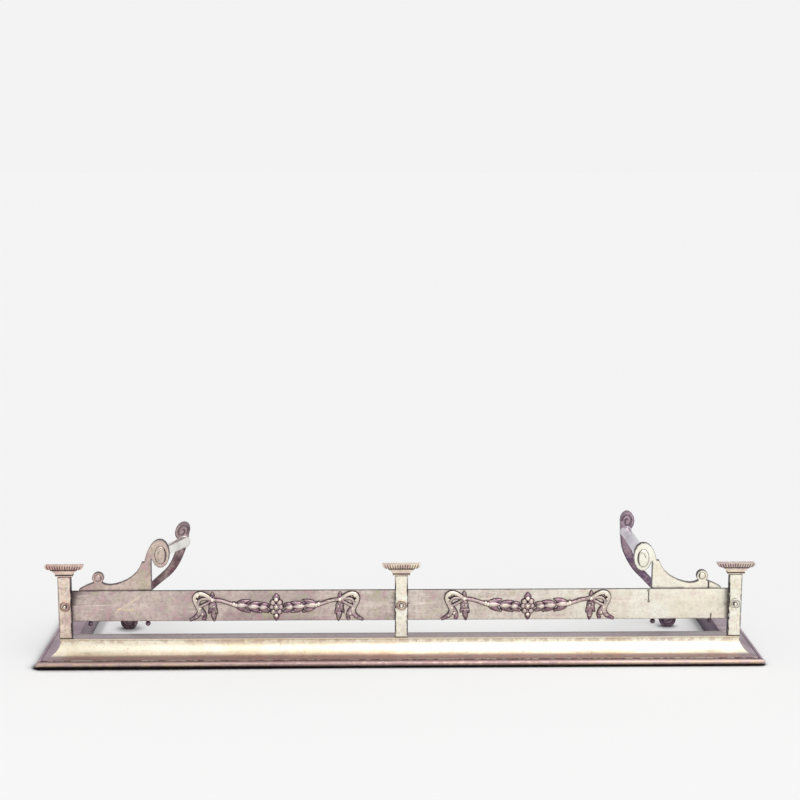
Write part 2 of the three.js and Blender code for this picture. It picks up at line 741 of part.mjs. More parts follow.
function ballDrop(rest, reach) {
  const bottom = scrollPlateBottom - dropNeckLength - 2 * dropRadius;
  const centre = bottom + dropRadius;
  const neckMeet = Math.sqrt(dropRadius ** 2 - dropNeckRadius ** 2);
  const ball = Array.from({ length: 6 }, (_, i) => {
    const angle = -Math.PI / 2 + (i / 5) * (Math.PI / 2 + Math.acos(dropNeckRadius / dropRadius));
    return [i === 0 ? 0 : dropRadius * Math.cos(angle), centre + dropRadius * Math.sin(angle)];
  });
  return turned([
    ...ball.slice(0, 5),
    [dropNeckRadius, centre + neckMeet],
    [dropNeckRadius, scrollPlateBottom - 2],
    [dropCollarRadius, scrollPlateBottom - 1.5],
    [dropCollarRadius, scrollPlateBottom],
    [dropStudRadius, scrollPlateBottom],
    [dropStudRadius, scrollPlateBottom + dropStudLength],
    [0, scrollPlateBottom + dropStudLength],
  ], 8).rotateX(Math.PI / 2).translate(rest.sign * reach, (plateFrontY + plateBackY) / 2, 0);
}

// the leg behind: a strap that sweeps out and down from an upper volute to a scrolled foot
function strapOutline(rest) {
  const [topWidth, width] = rest.strapWidths;
  const start = [rest.head[0] - legHeadHalfWidth + legNeckInset + topWidth / 2, rest.head[1]];
  const end = [legFootReach + legFootRadius - width / 2, legFootRadius];
  const path = new THREE.CatmullRomCurve3(rest.sweep.map(([out, down]) => new THREE.Vector3(
    THREE.MathUtils.lerp(start[0], end[0], out),
    THREE.MathUtils.lerp(start[1], end[1], down),
    0,
  )));
  const steps = 26;
  const outer = [];
  const inner = [];
  for (let i = 0; i <= steps; i += 1) {
    const point = path.getPointAt(i / steps);
    const tangent = path.getTangentAt(i / steps);
    const half = THREE.MathUtils.lerp(topWidth, width, THREE.MathUtils.smoothstep(i / steps, 0.1, 0.6)) / 2;
    outer.push(new THREE.Vector2(point.x - tangent.y * half, point.y + tangent.x * half));
    inner.push(new THREE.Vector2(point.x + tangent.y * half, point.y - tangent.x * half));
  }
  return new THREE.Shape([...outer, ...inner.reverse()]);
}

function scrollLeg(rest) {
  const head = new THREE.Shape();
  head.absellipse(...rest.head, legHeadHalfWidth, legHeadHalfHeight, 0, Math.PI * 2, false,
    THREE.MathUtils.degToRad(rest.headTilt));
  const foot = new THREE.Shape();
  foot.absarc(legFootReach, legFootRadius - legFootFlat, legFootRadius, 0, Math.PI * 2, false);
  const blank = join([strapOutline(rest), head, foot].map((outline) => (
    plate(mirrored(outline, rest.sign), legFrontY, legThickness)
  )));
  const hearth = new THREE.BoxGeometry(4 * legFootRadius, 4 * legThickness, 2 * legFootRadius)
    .translate(rest.sign * legFootReach, legFrontY, -legFootRadius);
  return cut(blank, [hearth, tenonHole(rest, legFrontY - 1, legBackY + 1)]);
}

for (const rest of restSides) {
  addPiece(`${rest.side}_scroll_plate`, scrollPlate(rest), brassDull);
  dropReaches.forEach((reach, i) => {
    addPiece(`${rest.side}_ball_drop_${i + 1}`, ballDrop(rest, reach), brassDark);
  });
  rivetPlaces(rest).forEach(([x, z], i) => {
    addPiece(`${rest.side}_plate_rivet_${i + 1}`, plateRivet(x, z), brassDull);
  });
  addPiece(`${rest.side}_rest_bar`, restBar(rest), brassPale);
  addPiece(`${rest.side}_scroll_leg`, scrollLeg(rest), brassShade);
}

// ---- rail ----

function rail() {
  const reach = postSpacing + postWidth / 2 - railEndCover;
  const blank = new THREE.BoxGeometry(2 * reach, railThickness, railHeight)
    .translate(0, (railFrontY + railBackY) / 2, (railBottom + railTop) / 2);
  const boltHoles = postPlaces.map(([, x]) => (
    rodAlongY(boltRadius + holeClearance, railFrontY - 1, railBackY + 1, x, rosetteHeight)
  ));
  const pinHoles = swagPinPlaces.map(([x, z]) => (
    rodAlongY(swagPinRadius + holeClearance, railFrontY - 1, railBackY + 1, x, z, 8)
  ));
  const rivetHoles = restSides.flatMap(rivetPlaces).map(([x, z]) => (
    rodAlongY(rivetRadius + holeClearance, railBackY - rivetReach - holeClearance, railBackY + 1, x, z, 8)
  ));
  return cut(blank, [...boltHoles, ...pinHoles, ...rivetHoles]);
}

addPiece('front_rail', rail(), brassDull);

export default part;
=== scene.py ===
# A worn brass fire fender on a pale studio floor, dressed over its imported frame.
import math

import bpy
from mathutils import Matrix, Vector


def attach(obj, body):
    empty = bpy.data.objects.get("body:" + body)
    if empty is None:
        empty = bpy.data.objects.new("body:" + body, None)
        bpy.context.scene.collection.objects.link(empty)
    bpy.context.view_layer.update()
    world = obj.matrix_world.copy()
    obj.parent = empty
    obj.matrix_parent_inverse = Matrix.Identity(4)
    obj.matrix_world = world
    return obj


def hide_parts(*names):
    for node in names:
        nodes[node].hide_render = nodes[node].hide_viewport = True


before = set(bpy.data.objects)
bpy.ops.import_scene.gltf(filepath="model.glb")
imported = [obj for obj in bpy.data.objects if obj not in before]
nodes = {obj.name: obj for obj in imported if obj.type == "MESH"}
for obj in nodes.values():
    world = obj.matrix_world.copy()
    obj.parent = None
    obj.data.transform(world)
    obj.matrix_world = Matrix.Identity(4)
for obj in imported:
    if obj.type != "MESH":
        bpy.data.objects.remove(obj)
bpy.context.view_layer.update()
scene = bpy.context.scene
mm = 0.001
weldReach = 0.005 * mm  # corners of the frame's loose triangles that belong together

# ---- small helpers ----


def linear(value):
    value = value / 255
    return value / 12.92 if value <= 0.04045 else ((value + 0.055) / 1.055) ** 2.4


def tone(red, green, blue):
    return (linear(red), linear(green), linear(blue), 1)


def leaveEdit():
    bpy.ops.object.mode_set(mode="OBJECT")


def pickNone():
    if bpy.context.object and bpy.context.object.mode != "OBJECT":
        leaveEdit()
    bpy.ops.object.select_all(action="DESELECT")


def pick(*chosen):
    pickNone()
    for item in chosen:
        item.select_set(True)
    bpy.context.view_layer.objects.active = chosen[0]
    return chosen[0]


def editAll(item):  # edit mode with the whole mesh selected
    pick(item)
    bpy.ops.object.mode_set(mode="EDIT")
    bpy.ops.mesh.select_all(action="SELECT")


def choose(item, test, kind="VERT"):  # edit mode with vertices chosen by place, or faces by normal
    pick(item)
    bpy.ops.object.mode_set(mode="EDIT")
    bpy.ops.mesh.select_mode(type=kind)
    bpy.ops.mesh.select_all(action="DESELECT")
    leaveEdit()
    if kind == "VERT":
        for vert in item.data.vertices:
            vert.select = test(vert.co)
    else:
        for face in item.data.polygons:
            face.select = test(face.normal)
    bpy.ops.object.mode_set(mode="EDIT")


def reshape(item, test, size=None, centre=(0, 0, 0), shift=None):  # chosen vertices, resized and then moved
    choose(item, test)
    if item.data.total_vert_sel:
        if size:
            bpy.ops.transform.resize(value=size, center_override=centre)
        if shift:
            bpy.ops.transform.translate(value=shift)
    leaveEdit()


def grow(rise, size):  # in edit mode: the chosen faces are extruded and resized
    bpy.ops.mesh.extrude_region_move(TRANSFORM_OT_translate={"value": rise})
    bpy.ops.transform.resize(value=size)


def settle(item):  # location, turn and scale go into the mesh
    pick(item)
    bpy.ops.object.transform_apply(location=True, rotation=True, scale=True)
    return item


def fuse(pieces):
    first = pick(*pieces)
    if len(pieces) > 1:
        bpy.ops.object.join()
    return settle(first)


def copyOf(item, place=(0, 0, 0), turn=(0, 0, 0), size=(1, 1, 1)):
    twin = item.copy()
    twin.data = item.data.copy()
    scene.collection.objects.link(twin)
    twin.location, twin.rotation_euler, twin.scale = place, turn, size
    return twin


def discard(*items):
    pickNone()
    for item in items:
        bpy.data.objects.remove(item)


def applied(item, kind, **settings):
    pick(item)
    modifier = item.modifiers.new(kind.lower(), kind)
    for name, value in settings.items():
        setattr(modifier, name, value)
    bpy.ops.object.modifier_apply(modifier=modifier.name)
    return item


def smooth(item, degrees=35):
    pick(item)
    bpy.ops.object.shade_smooth_by_angle(angle=math.radians(degrees))
    return item


def outward(item):  # doubles merged, then every face turned outwards
    editAll(item)
    bpy.ops.mesh.remove_doubles(threshold=0.002 * mm)
    bpy.ops.mesh.normals_make_consistent(inside=False)
    leaveEdit()
    return item


def mergedCopy(node, name):  # a copy of a frame node with its loose triangles joined up
    piece = bpy.data.objects.new(name, nodes[node].data.copy())
    scene.collection.objects.link(piece)
    editAll(piece)
    bpy.ops.mesh.remove_doubles(threshold=weldReach)
    bpy.ops.mesh.customdata_custom_splitnormals_clear()
    bpy.ops.mesh.dissolve_limited(angle_limit=math.radians(0.5))
    leaveEdit()
    return piece


def roundEdges(piece, width, steps=2, degrees=32):
    pick(piece)
    bpy.ops.object.mode_set(mode="EDIT")
    bpy.ops.mesh.select_mode(type="EDGE")
    bpy.ops.mesh.select_all(action="DESELECT")
    bpy.ops.mesh.edges_select_sharp(sharpness=math.radians(degrees))
    bpy.ops.mesh.bevel(offset=width, segments=steps, profile=0.5, clamp_overlap=True)
    leaveEdit()
    return smooth(piece)


def block(place, size):
    pickNone()
    bpy.ops.mesh.primitive_cube_add(size=1, location=place)
    item = bpy.context.object
    item.scale = size
    return settle(item)


def rod(place, radius, length, sides, turn=(0, 0, 0)):
    pickNone()
    bpy.ops.mesh.primitive_cylinder_add(vertices=sides, radius=radius, depth=length, location=place, rotation=turn)
    return settle(bpy.context.object)


def dome(place, radius, size, segments, rings):
    pickNone()
    bpy.ops.mesh.primitive_uv_sphere_add(segments=segments, ring_count=rings, radius=radius, location=place)
    item = bpy.context.object
    item.scale = size
    return smooth(settle(item), 60)


def strand(name, points, radii, resolution, **settings):  # a strand drawn along places in mm
    path = bpy.data.curves.new(name, "CURVE")
    path.dimensions = "3D"
    path.use_fill_caps = True
    for label, value in settings.items():
        setattr(path, label, value)
    line = path.splines.new("NURBS")
    line.points.add(len(points) - 1)
    for point, place, radius in zip(line.points, points, radii):
        point.co = (*[value * mm for value in place], 1)
        point.radius = radius
    line.use_endpoint_u = True
    line.order_u = 3
    line.resolution_u = resolution
    item = bpy.data.objects.new(name, path)
    scene.collection.objects.link(item)
    pick(item)
    bpy.ops.object.convert(target="MESH")
    return item


def cutAway(piece, place, size):  # a block, in mm, is taken out of a piece
    tool = block([value * mm for value in place], [value * mm for value in size])
    applied(piece, "BOOLEAN", object=tool, operation="DIFFERENCE", solver="EXACT")
    discard(tool)


def finishPiece(piece, name, node, finish):
    piece.name = name
    piece.data.materials.clear()
    piece.data.materials.append(finishes[finish])
    for face in piece.data.polygons:
        face.material_index = 0
    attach(piece, "root")
    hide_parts(node)
    return piece


class Wiring:  # short hands for adding and joining nodes in one tree
    def __init__(self, tree):
        self.nodes, self.links = tree.nodes, tree.links

    def add(self, kind, **settings):
        node = self.nodes.new("ShaderNode" + kind)
        for name, value in settings.items():
            setattr(node, name, value)
        return node

    def join(self, source, target):
        self.links.new(source, target)

    def feed(self, target, value):
        if isinstance(value, bpy.types.NodeSocket):
            self.links.new(value, target)
        else:
            target.default_value = value

    def math(self, kind, first, second=0.0, clamp=False):
        node = self.add("Math", operation=kind, use_clamp=clamp)
        self.feed(node.inputs[0], first)
        self.feed(node.inputs[1], second)
        return node.outputs[0]

    def times(self, first, second):
        return self.math("MULTIPLY", first, second)

    def plus(self, first, second, clamp=False):
        return self.math("ADD", first, second, clamp)

    def less(self, first, second, clamp=False):
        return self.math("SUBTRACT", first, second, clamp)

    def rest(self, value):  # what a mask leaves over
        return self.less(1.0, value)

    def broken(self, mask, share):  # a mask that counts for a share only
        return self.plus(self.times(mask, share), self.rest(share))

    def blend(self, share, first, second):
        node = self.add("Mix", data_type="RGBA", blend_type="MIX")
        self.feed(node.inputs["Factor"], share)
        self.feed(node.inputs[6], first)
        self.feed(node.inputs[7], second)
        return node.outputs[2]

    def tint(self, colour, mask, share, added):  # a share of another colour where the mask is
        return self.blend(self.times(mask, share), colour, added)

    def span(self, value, low, high, floor=0.0, top=1.0):  # low..high onto floor..top, clamped
        node = self.add("MapRange", interpolation_type="SMOOTHSTEP")
        for label, given in zip(("Value", "From Min", "From Max", "To Min", "To Max"), (value, low, high, floor, top)):
            self.feed(node.inputs[label], given)
        return node.outputs["Result"]

    def noise(self, place, scale, detail=3.0, rough=0.55, warp=0.0):
        node = self.add("TexNoise")
        for label, given in zip(("Vector", "Scale", "Detail", "Roughness", "Distortion"),
                                (place, scale, detail, rough, warp)):
            self.feed(node.inputs[label], given)
        return node.outputs["Fac"]

    def place(self):
        return self.add("TexCoord").outputs["Object"]

    def split(self, vector):
        node = self.add("SeparateXYZ")
        self.join(vector, node.inputs[0])
        return node.outputs

    def deliver(self, made, **values):
        for label, value in values.items():
            self.join(value, made[label])


# ---- stage: floor, light, camera ----

stageLook = {
    "sky": tone(243, 243, 243), "skyLight": tone(250, 250, 250),
    "fill": 0.56,  # what the sky gives to matt surfaces
    "floorNear": tone(246, 246, 246), "floorFar": tone(242, 242, 242), "floorShadow": tone(24, 18, 22),
    "suns": {"frontSoft": (1.55, 60, (38, 0, 25)), "overheadSoft": (0.3, 40, (-14, 6, 0))},  # strength, spread, turn
}

pickNone()
bpy.ops.mesh.primitive_plane_add(size=60, location=(0, 0, 0))
floor = bpy.context.object
floor.name = "paperFloor"
paper = bpy.data.materials.new("paper")
paper.use_nodes = True
paperBody = paper.node_tree.nodes["Principled BSDF"]
paperBody.inputs["Roughness"].default_value = 0.95
paperBody.inputs["Specular IOR Level"].default_value = 0.0
floor.data.materials.append(paper)


def paintSky(w):
    w.nodes.clear()
    rays = w.add("LightPath").outputs
    seen = w.plus(rays["Is Camera Ray"], rays["Is Glossy Ray"], True)
    seen = w.plus(seen, rays["Is Transmission Ray"], True)
    mix = w.add("MixShader")
    w.join(seen, mix.inputs[0])
    for slot, colour, strength in ((1, stageLook["skyLight"], stageLook["fill"]), (2, stageLook["sky"], 1.0)):
        light = w.add("Background")
        light.inputs["Color"].default_value = colour
        light.inputs["Strength"].default_value = strength
        w.join(light.outputs[0], mix.inputs[slot])
    w.join(mix.outputs[0], w.add("OutputWorld").inputs[0])


scene.world = bpy.data.worlds.new("studio")
scene.world.use_nodes = True
paintSky(Wiring(scene.world.node_tree))

for name, (strength, spread, turn) in stageLook["suns"].items():
    lamp = bpy.data.lights.new(name, "SUN")
    lamp.energy = strength
    lamp.angle = math.radians(spread)
    holder = bpy.data.objects.new(name, lamp)
    holder.rotation_euler = [math.radians(value) for value in turn]
    scene.collection.objects.link(holder)

cameraPlace = {"stand": (-0.0639, -3.0365, 1.0083), "down": 9.853, "right": -1.192, "roll": 0.096, "lens": 72}
lens = bpy.data.cameras.new("photoCamera")
lens.sensor_width = 36
lens.lens = cameraPlace["lens"]
lens.clip_start = 0.05
cameraHolder = bpy.data.objects.new("photoCamera", lens)
scene.collection.objects.link(cameraHolder)
cameraHolder.matrix_world = (
    Matrix.Translation(cameraPlace["stand"])
    @ Matrix.Rotation(math.radians(cameraPlace["right"]), 4, "Z")
    @ Matrix.Rotation(math.radians(90 - cameraPlace["down"]), 4, "X")
    @ Matrix.Rotation(math.radians(cameraPlace["roll"]), 4, "Z")
)
scene.camera = cameraHolder
scene.view_settings.view_transform = "Standard"
print("stage ready")

# ---- shader groups ----


def newGroup(name, inputs, outputs):
    group = bpy.data.node_groups.new(name, "ShaderNodeTree")
    for label, value in inputs.items():
        socket = group.interface.new_socket(label, in_out="INPUT", socket_type="NodeSocketFloat")
        socket.default_value = value
    for label in outputs:
        group.interface.new_socket(label, in_out="OUTPUT", socket_type="NodeSocketFloat")
    w = Wiring(group)
    return group, w, w.nodes.new("NodeGroupInput").outputs, w.nodes.new("NodeGroupOutput").inputs


def edgeWearAndShadeGroup():  # an edge mask from the turn of the surface at a corner: brighter rubbed edges, and the painted dark edge shade of the outlines
    group, w, given, made = newGroup("edgeWearAndShade", {"Width": 1.2 * mm, "Breakup": 0.5, "Full": 0.2}, ["Mask"])
    bevel = w.add("Bevel", samples=6)
    w.join(given["Width"], bevel.inputs["Radius"])
    dot = w.add("VectorMath", operation="DOT_PRODUCT")
    w.join(bevel.outputs[0], dot.inputs[0])
    w.join(w.add("NewGeometry").outputs["Normal"], dot.inputs[1])
    turned = w.span(w.rest(dot.outputs["Value"]), w.times(given["Full"], 0.1), given["Full"])
    patches = w.span(w.noise(w.place(), 190, 3), 0.4, 0.62)
    w.deliver(made, Mask=w.times(turned, w.broken(patches, given["Breakup"])))
    return group


def grimeAndShadeGroup():  # darkening in hollows and under overhangs: dirt, and painted shade
    group, w, given, made = newGroup("hollowGrimeAndShade", {"Reach": 6 * mm, "Low": 0.35, "High": 0.85}, ["Mask"])
    hidden = w.add("AmbientOcclusion", samples=8, only_local=True)
    w.join(given["Reach"], hidden.inputs["Distance"])
    closed = w.rest(w.span(hidden.outputs["AO"], given["Low"], given["High"]))
    uneven = w.span(w.noise(w.place(), 120, 4), 0.3, 0.6, 0.6, 1.0)
    w.deliver(made, Mask=w.times(closed, uneven))
    return group


def mottleGroup():  # cloudy tarnish, fine mottling, pits and rubbed scratches
    group, w, given, made = newGroup(
        "mottle", {"Cloud Scale": 14.0, "Fine Scale": 150.0, "Hue Scale": 70.0, "Pit Scale": 230.0},
        ["Cloud", "Fine", "Hue", "Pits", "Scratch", "Height"])
    place = w.place()
    cloud = w.noise(place, given["Cloud Scale"], 4, 0.6, 0.4)
    fine = w.noise(place, given["Fine Scale"], 5, 0.65)
    shifted = w.add("Mapping")
    w.join(place, shifted.inputs["Vector"])
    shifted.inputs["Location"].default_value = (3.1, 1.7, 5.3)
    hue = w.noise(shifted.outputs[0], given["Hue Scale"], 4, 0.62)
    cells = w.add("TexVoronoi", feature="F1")
    w.join(shifted.outputs[0], cells.inputs["Vector"])
    w.join(given["Pit Scale"], cells.inputs["Scale"])
    spots = w.rest(w.span(cells.outputs["Distance"], 0.1, 0.24))
    pits = w.times(spots, w.span(w.noise(place, 46, 3, 0.6), 0.52, 0.64))
    slant = w.add("Mapping")
    w.join(place, slant.inputs["Vector"])
    slant.inputs["Rotation"].default_value = (0, math.radians(35), 0)
    slant.inputs["Scale"].default_value = (6, 60, 240)
    line = w.span(w.noise(slant.outputs[0], 2.2, 3, 0.5), 0.58, 0.64)
    scratch = w.times(line, w.span(w.noise(place, 11, 2), 0.46, 0.58))
    height = w.plus(w.times(fine, 0.5), w.times(cloud, 1.1))
    height = w.less(w.less(height, w.times(pits, 0.6)), w.times(scratch, 0.25))
    w.deliver(made, Cloud=cloud, Fine=fine, Hue=hue, Pits=pits, Scratch=scratch, Height=height)
    return group


def facingGroup():  # which way a surface of the fender faces, and how far right and forward it lies
    group, w, given, made = newGroup(
        "facing", {"Edge From": 0.45, "Up From": 0.72, "Right From": 0.0, "Right To": 0.55, "Crest From": 0.0,
                   "Crest To": 0.001},
        ["Edge", "Up", "Inward", "Right", "Crest", "Back", "Side"])
    normal = w.split(w.add("NewGeometry").outputs["Normal"])
    place = w.split(w.place())
    front = w.math("ABSOLUTE", normal["Y"])
    towardsMiddle = w.times(w.times(normal["X"], w.math("SIGN", place["X"])), -1.0)
    w.deliver(
        made,
        Edge=w.rest(w.span(front, given["Edge From"], w.plus(given["Edge From"], 0.4))),
        Up=w.span(normal["Z"], given["Up From"], 0.98),
        Inward=w.span(towardsMiddle, 0.15, 0.45),
        Right=w.span(place["X"], given["Right From"], given["Right To"]),
        Crest=w.span(w.times(place["Y"], -1.0), given["Crest From"], given["Crest To"]),
        Back=w.span(normal["Y"], 0.3, 0.7),
        Side=w.span(w.math("ABSOLUTE", normal["X"]), 0.2, 0.5))
    return group


def bandGroup():  # a level band with wandering, patchy borders: tarnish and polish, and painted shade and highlight lines
    group, w, given, made = newGroup(
        "band", {"Low": 0.0, "High": 0.01, "Soft": 0.4 * mm, "Wander": 0.5 * mm, "Patch": 0.3}, ["Mask"])
    place = w.place()
    drift = w.less(w.noise(place, 60, 3), 0.5)
    level = w.plus(w.split(place)["Z"], w.times(drift, given["Wander"]))
    over, past = [w.span(level, w.less(given[border], given["Soft"]), w.plus(given[border], given["Soft"]))
                  for border in ("Low", "High")]
    patches = w.span(w.noise(place, 75, 4, 0.6), 0.44, 0.56)
    w.deliver(made, Mask=w.times(w.less(over, past, True), w.broken(patches, given["Patch"])))
    return group


def streakGroup():  # one long streak across a flat face, broken along its length: light rubs, a darker streak along the kerb's bead, and painted shade lines at the posts' sides
    group, w, given, made = newGroup(
        "streak", {"X": 0.0, "Z": 0.1, "Angle": 0.5, "Length": 0.03, "Width": 0.002}, ["Mask"])
    place = w.place()
    split = w.split(place)
    across, rise = w.less(split["X"], given["X"]), w.less(split["Z"], given["Z"])
    cosine, sine = w.math("COSINE", given["Angle"]), w.math("SINE", given["Angle"])
    along = w.plus(w.times(across, cosine), w.times(rise, sine))
    beside = w.less(w.times(rise, cosine), w.times(across, sine))
    drift = w.times(w.less(w.noise(place, 70, 3), 0.5), 5 * mm)
    near = w.math("ABSOLUTE", w.plus(beside, drift))
    inside = w.rest(w.span(near, w.times(given["Width"], 0.2), given["Width"]))
    halfLength = w.times(given["Length"], 0.5)
    reach = w.rest(w.span(w.math("ABSOLUTE", along), w.times(halfLength, 0.6), halfLength))
    patches = w.span(w.noise(place, 150, 3), 0.36, 0.52, 0.25, 1.0)
    w.deliver(made, Mask=w.times(w.times(inside, reach), patches))
    return group


groups = {"edge": edgeWearAndShadeGroup(), "grimeAndShade": grimeAndShadeGroup(), "mottle": mottleGroup(), "facing": facingGroup(),
          "band": bandGroup(), "streak": streakGroup()}
print("shader groups ready")

# ---- the floor: one even paper tone, with a painted contact shadow only where the kerb and feet stand on it ----


def paintFloor(w):
    place = w.split(w.place())
    farShare = w.plus(w.span(place["Y"], -0.9, 0.3), w.span(place["Y"], -2.5, -7.0), True)
    floorTone = w.blend(farShare, stageLook["floorNear"], stageLook["floorFar"])
    # painted contact shadow: ambient occlusion darkens the floor's colour close to the kerb and feet
    contact = w.add("AmbientOcclusion", samples=12)
    contact.inputs["Distance"].default_value = 26 * mm
    leftSide = w.span(place["X"], 0.0, -0.5)  # the painted shadow reaches further at the left end, where the kerb stands a little higher
    closedFrom = w.plus(0.62, w.times(leftSide, 0.2))
    openFrom = w.plus(0.88, w.times(leftSide, 0.05))
    paintedShadow = w.rest(w.span(contact.outputs["AO"], closedFrom, openFrom))
    # the painted shadow is weaker behind the kerb's front
    behindFront = w.span(place["Y"], -0.166, -0.12, 1.0, 0.38)
    w.join(w.tint(floorTone, paintedShadow, behindFront, stageLook["floorShadow"]), paperBody.inputs["Base Color"])


paintFloor(Wiring(paper.node_tree))

# ---- finishes ----


def metalFinish(name, look):
    material = bpy.data.materials.new(name)
    material.use_nodes = True
    w = Wiring(material.node_tree)
    body = w.nodes["Principled BSDF"]

    def group(key, **values):
        node = w.add("Group")
        node.node_tree = groups[key]
        for label, value in values.items():
            node.inputs[label.replace("_", " ")].default_value = value
        return node.outputs

    def crestOf(low, high):  # how far a place stands forward between two depths
        return group("facing", Crest_From=low * mm, Crest_To=high * mm)["Crest"]

    mottle = group("mottle", Cloud_Scale=look["cloudScale"], Hue_Scale=look["hueScale"])
    crestLow, crestHigh, crestHighlightShare = look["crest"]
    facing = group("facing", Up_From=look["upFrom"], Right_From=look["rightSpan"][0], Right_To=look["rightSpan"][1],
                   Crest_From=crestLow * mm, Crest_To=crestHigh * mm)
    edge = group("edge")
    outline = group("edge", Width=look["outlineWidth"] * mm, Breakup=0.3, Full=look["outlineFull"])
    grimeAndShade = group("grimeAndShade", Reach=look["grimeAndShadeReach"])

    cloudy = w.span(mottle["Cloud"], 0.38, 0.62)
    left, right, back = [w.blend(cloudy, look[dull], look[pale]) for dull, pale in (
        ("dull", "pale"), ("dullRightLighting", "paleRightLighting"), ("backDull", "backPale"))]
    # painted light and shade: towards the right the tones blend into copies as lit on that side
    colour = w.blend(facing["Right"], left, right)
    colour = w.tint(colour, facing["Back"], look["backShare"], back)
    clear = w.rest(w.times(facing["Right"], look["rightClear"]))
    patchy = w.times(w.span(mottle["Cloud"], 0.62, 0.4, 0.3, 1.0), clear)
    for mask, low, high, share, where, added in (
            ("Fine", 0.42, 0.66, "fine", clear, "fineTint"), ("Hue", 0.52, 0.64, "hue", patchy, "pinkTint"),
            ("Hue", 0.47, 0.36, "hue", patchy, "greenTint")):
        colour = w.tint(colour, w.span(mottle[mask], low, high, 0.0, look[share]), where, look[added])
    colour = w.tint(colour, mottle["Scratch"], look["scratch"], look["wornAndHighlight"])
    # painted highlight, with rubbed wear, on what stands furthest forward
    colour = w.tint(colour, facing["Crest"], crestHighlightShare, look["wornAndHighlight"])
    # painted shade on faces turned upwards, such as the kerb's ledge
    colour = w.tint(colour, facing["Up"], look["upShadeShare"], look["upShade"])
    # painted shade on what lies back: the swag's foot and the rear of the kerb's ledge
    if look["sunk"]:
        low, high, share = look["sunk"]
        hollow = w.rest(crestOf(low, high))
        if look["sunkTop"]:
            hollow = w.times(hollow, facing["Up"])
        colour = w.tint(colour, hollow, share, look["dark"])
    # painted shade on faces turned away from the front
    colour = w.tint(colour, facing["Edge"], look["turnedFaceShadeShare"], look["turnedFaceShade"])
    # painted shade on faces turned to the sides
    colour = w.tint(colour, facing["Side"], look["sideShade"], look["dark"])
    # painted shade on faces turned towards the middle, such as the returns' inner walls and the plates' inboard edges
    inwardShade = w.span(facing["Right"], 0.0, 1.0, *look["inwardShade"])
    colour = w.tint(colour, facing["Inward"], inwardShade, look["turnedFaceShade"])
    # bands: tarnish and polish, and painted shade and highlight lines
    shownBand = w.rest(w.times(facing["Back"], 1.0 - look["bandsBehind"]))
    for low, high, soft, patch, share, added in look["bands"]:
        band = group("band", Low=low * mm, High=high * mm, Soft=soft * mm, Patch=patch)
        colour = w.tint(colour, band["Mask"], w.times(shownBand, share), added)
    for x, z, degrees, length, width, share, added in look["streaks"]:
        streak = group("streak", X=x * mm, Z=z * mm, Angle=math.radians(degrees), Length=length * mm,
                       Width=width * mm)
        colour = w.tint(colour, streak["Mask"], share, added)
    colour = w.tint(colour, edge["Mask"], look["wear"], look["wornAndHighlight"])
    # painted dark edge shade, drawn as outlines along the edges
    drawn = w.times(outline["Mask"], look["outline"])
    if look["outlineTo"]:  # no line on what stands in front of the flat face
        drawn = w.times(drawn, w.rest(crestOf(*look["outlineTo"])))
    colour = w.blend(drawn, colour, look["dark"])
    # grime, and painted shade in hollows and under overhangs
    colour = w.tint(colour, grimeAndShade["Mask"], look["grimeAndShade"], look["dark"])
    colour = w.tint(colour, mottle["Pits"], look["pits"], look["dark"])
    w.join(colour, body.inputs["Base Color"])

    rough = w.span(mottle["Fine"], 0.3, 0.7, look["rough"] - 0.07, look["rough"] + 0.1)
    rough = w.plus(rough, w.times(grimeAndShade["Mask"], 0.25), True)
    w.join(w.less(rough, w.times(edge["Mask"], 0.08)), body.inputs["Roughness"])
    body.inputs["Metallic"].default_value = look["metal"]
    bump = w.add("Bump")
    bump.inputs["Strength"].default_value = look["bump"]
    bump.inputs["Distance"].default_value = 0.6 * mm
    w.join(mottle["Height"], bump.inputs["Height"])
    w.join(bump.outputs[0], body.inputs["Normal"])
    return material


# lengths are in mm: a band has low, high, soft border, patchiness, share and tint, a streak has x, z, degrees,
# length, width, share and tint, crest and sunk have the depths between which they come in, and their share
# crest brings in a painted highlight with rubbed wear, sunk a painted shade; the near-black below is for painted shade
# and shadow lines, and for pits and grime
shadeAndPitDark = tone(40, 26, 38)
common = {
    "dull": tone(188, 168, 160), "pale": tone(216, 198, 184),
    "dullRightLighting": tone(250, 243, 224), "paleRightLighting": tone(255, 254, 240),
    "fine": 0.45, "fineTint": tone(156, 134, 134), "rightClear": 0.5,
    "backShare": 0.5, "backDull": tone(164, 144, 134), "backPale": tone(200, 180, 162), "bandsBehind": 1.0,
    "hue": 0.62, "hueScale": 60.0, "pinkTint": tone(204, 160, 168), "greenTint": tone(192, 192, 152),
    "wornAndHighlight": tone(255, 246, 226), "wear": 0.15, "scratch": 0.5,
    "dark": shadeAndPitDark, "grimeAndShade": 0.75, "grimeAndShadeReach": 5 * mm, "pits": 0.8,
    "upFrom": 0.72, "upShadeShare": 0.8, "upShade": tone(112, 92, 108), "rightSpan": (0.0, 0.55),
    "turnedFaceShadeShare": 0.9, "turnedFaceShade": tone(46, 30, 44), "inwardShade": (0.0, 0.0),
    "sideShade": 0.0, "outline": 0.8, "outlineWidth": 1.8, "outlineFull": 0.045,
    "outlineTo": None,
    "crest": (200, 201, 0.0), "sunk": None, "sunkTop": False, "bands": [], "streaks": [],
    "cloudScale": 14.0, "rough": 0.4, "metal": 0.85, "bump": 0.35,
}
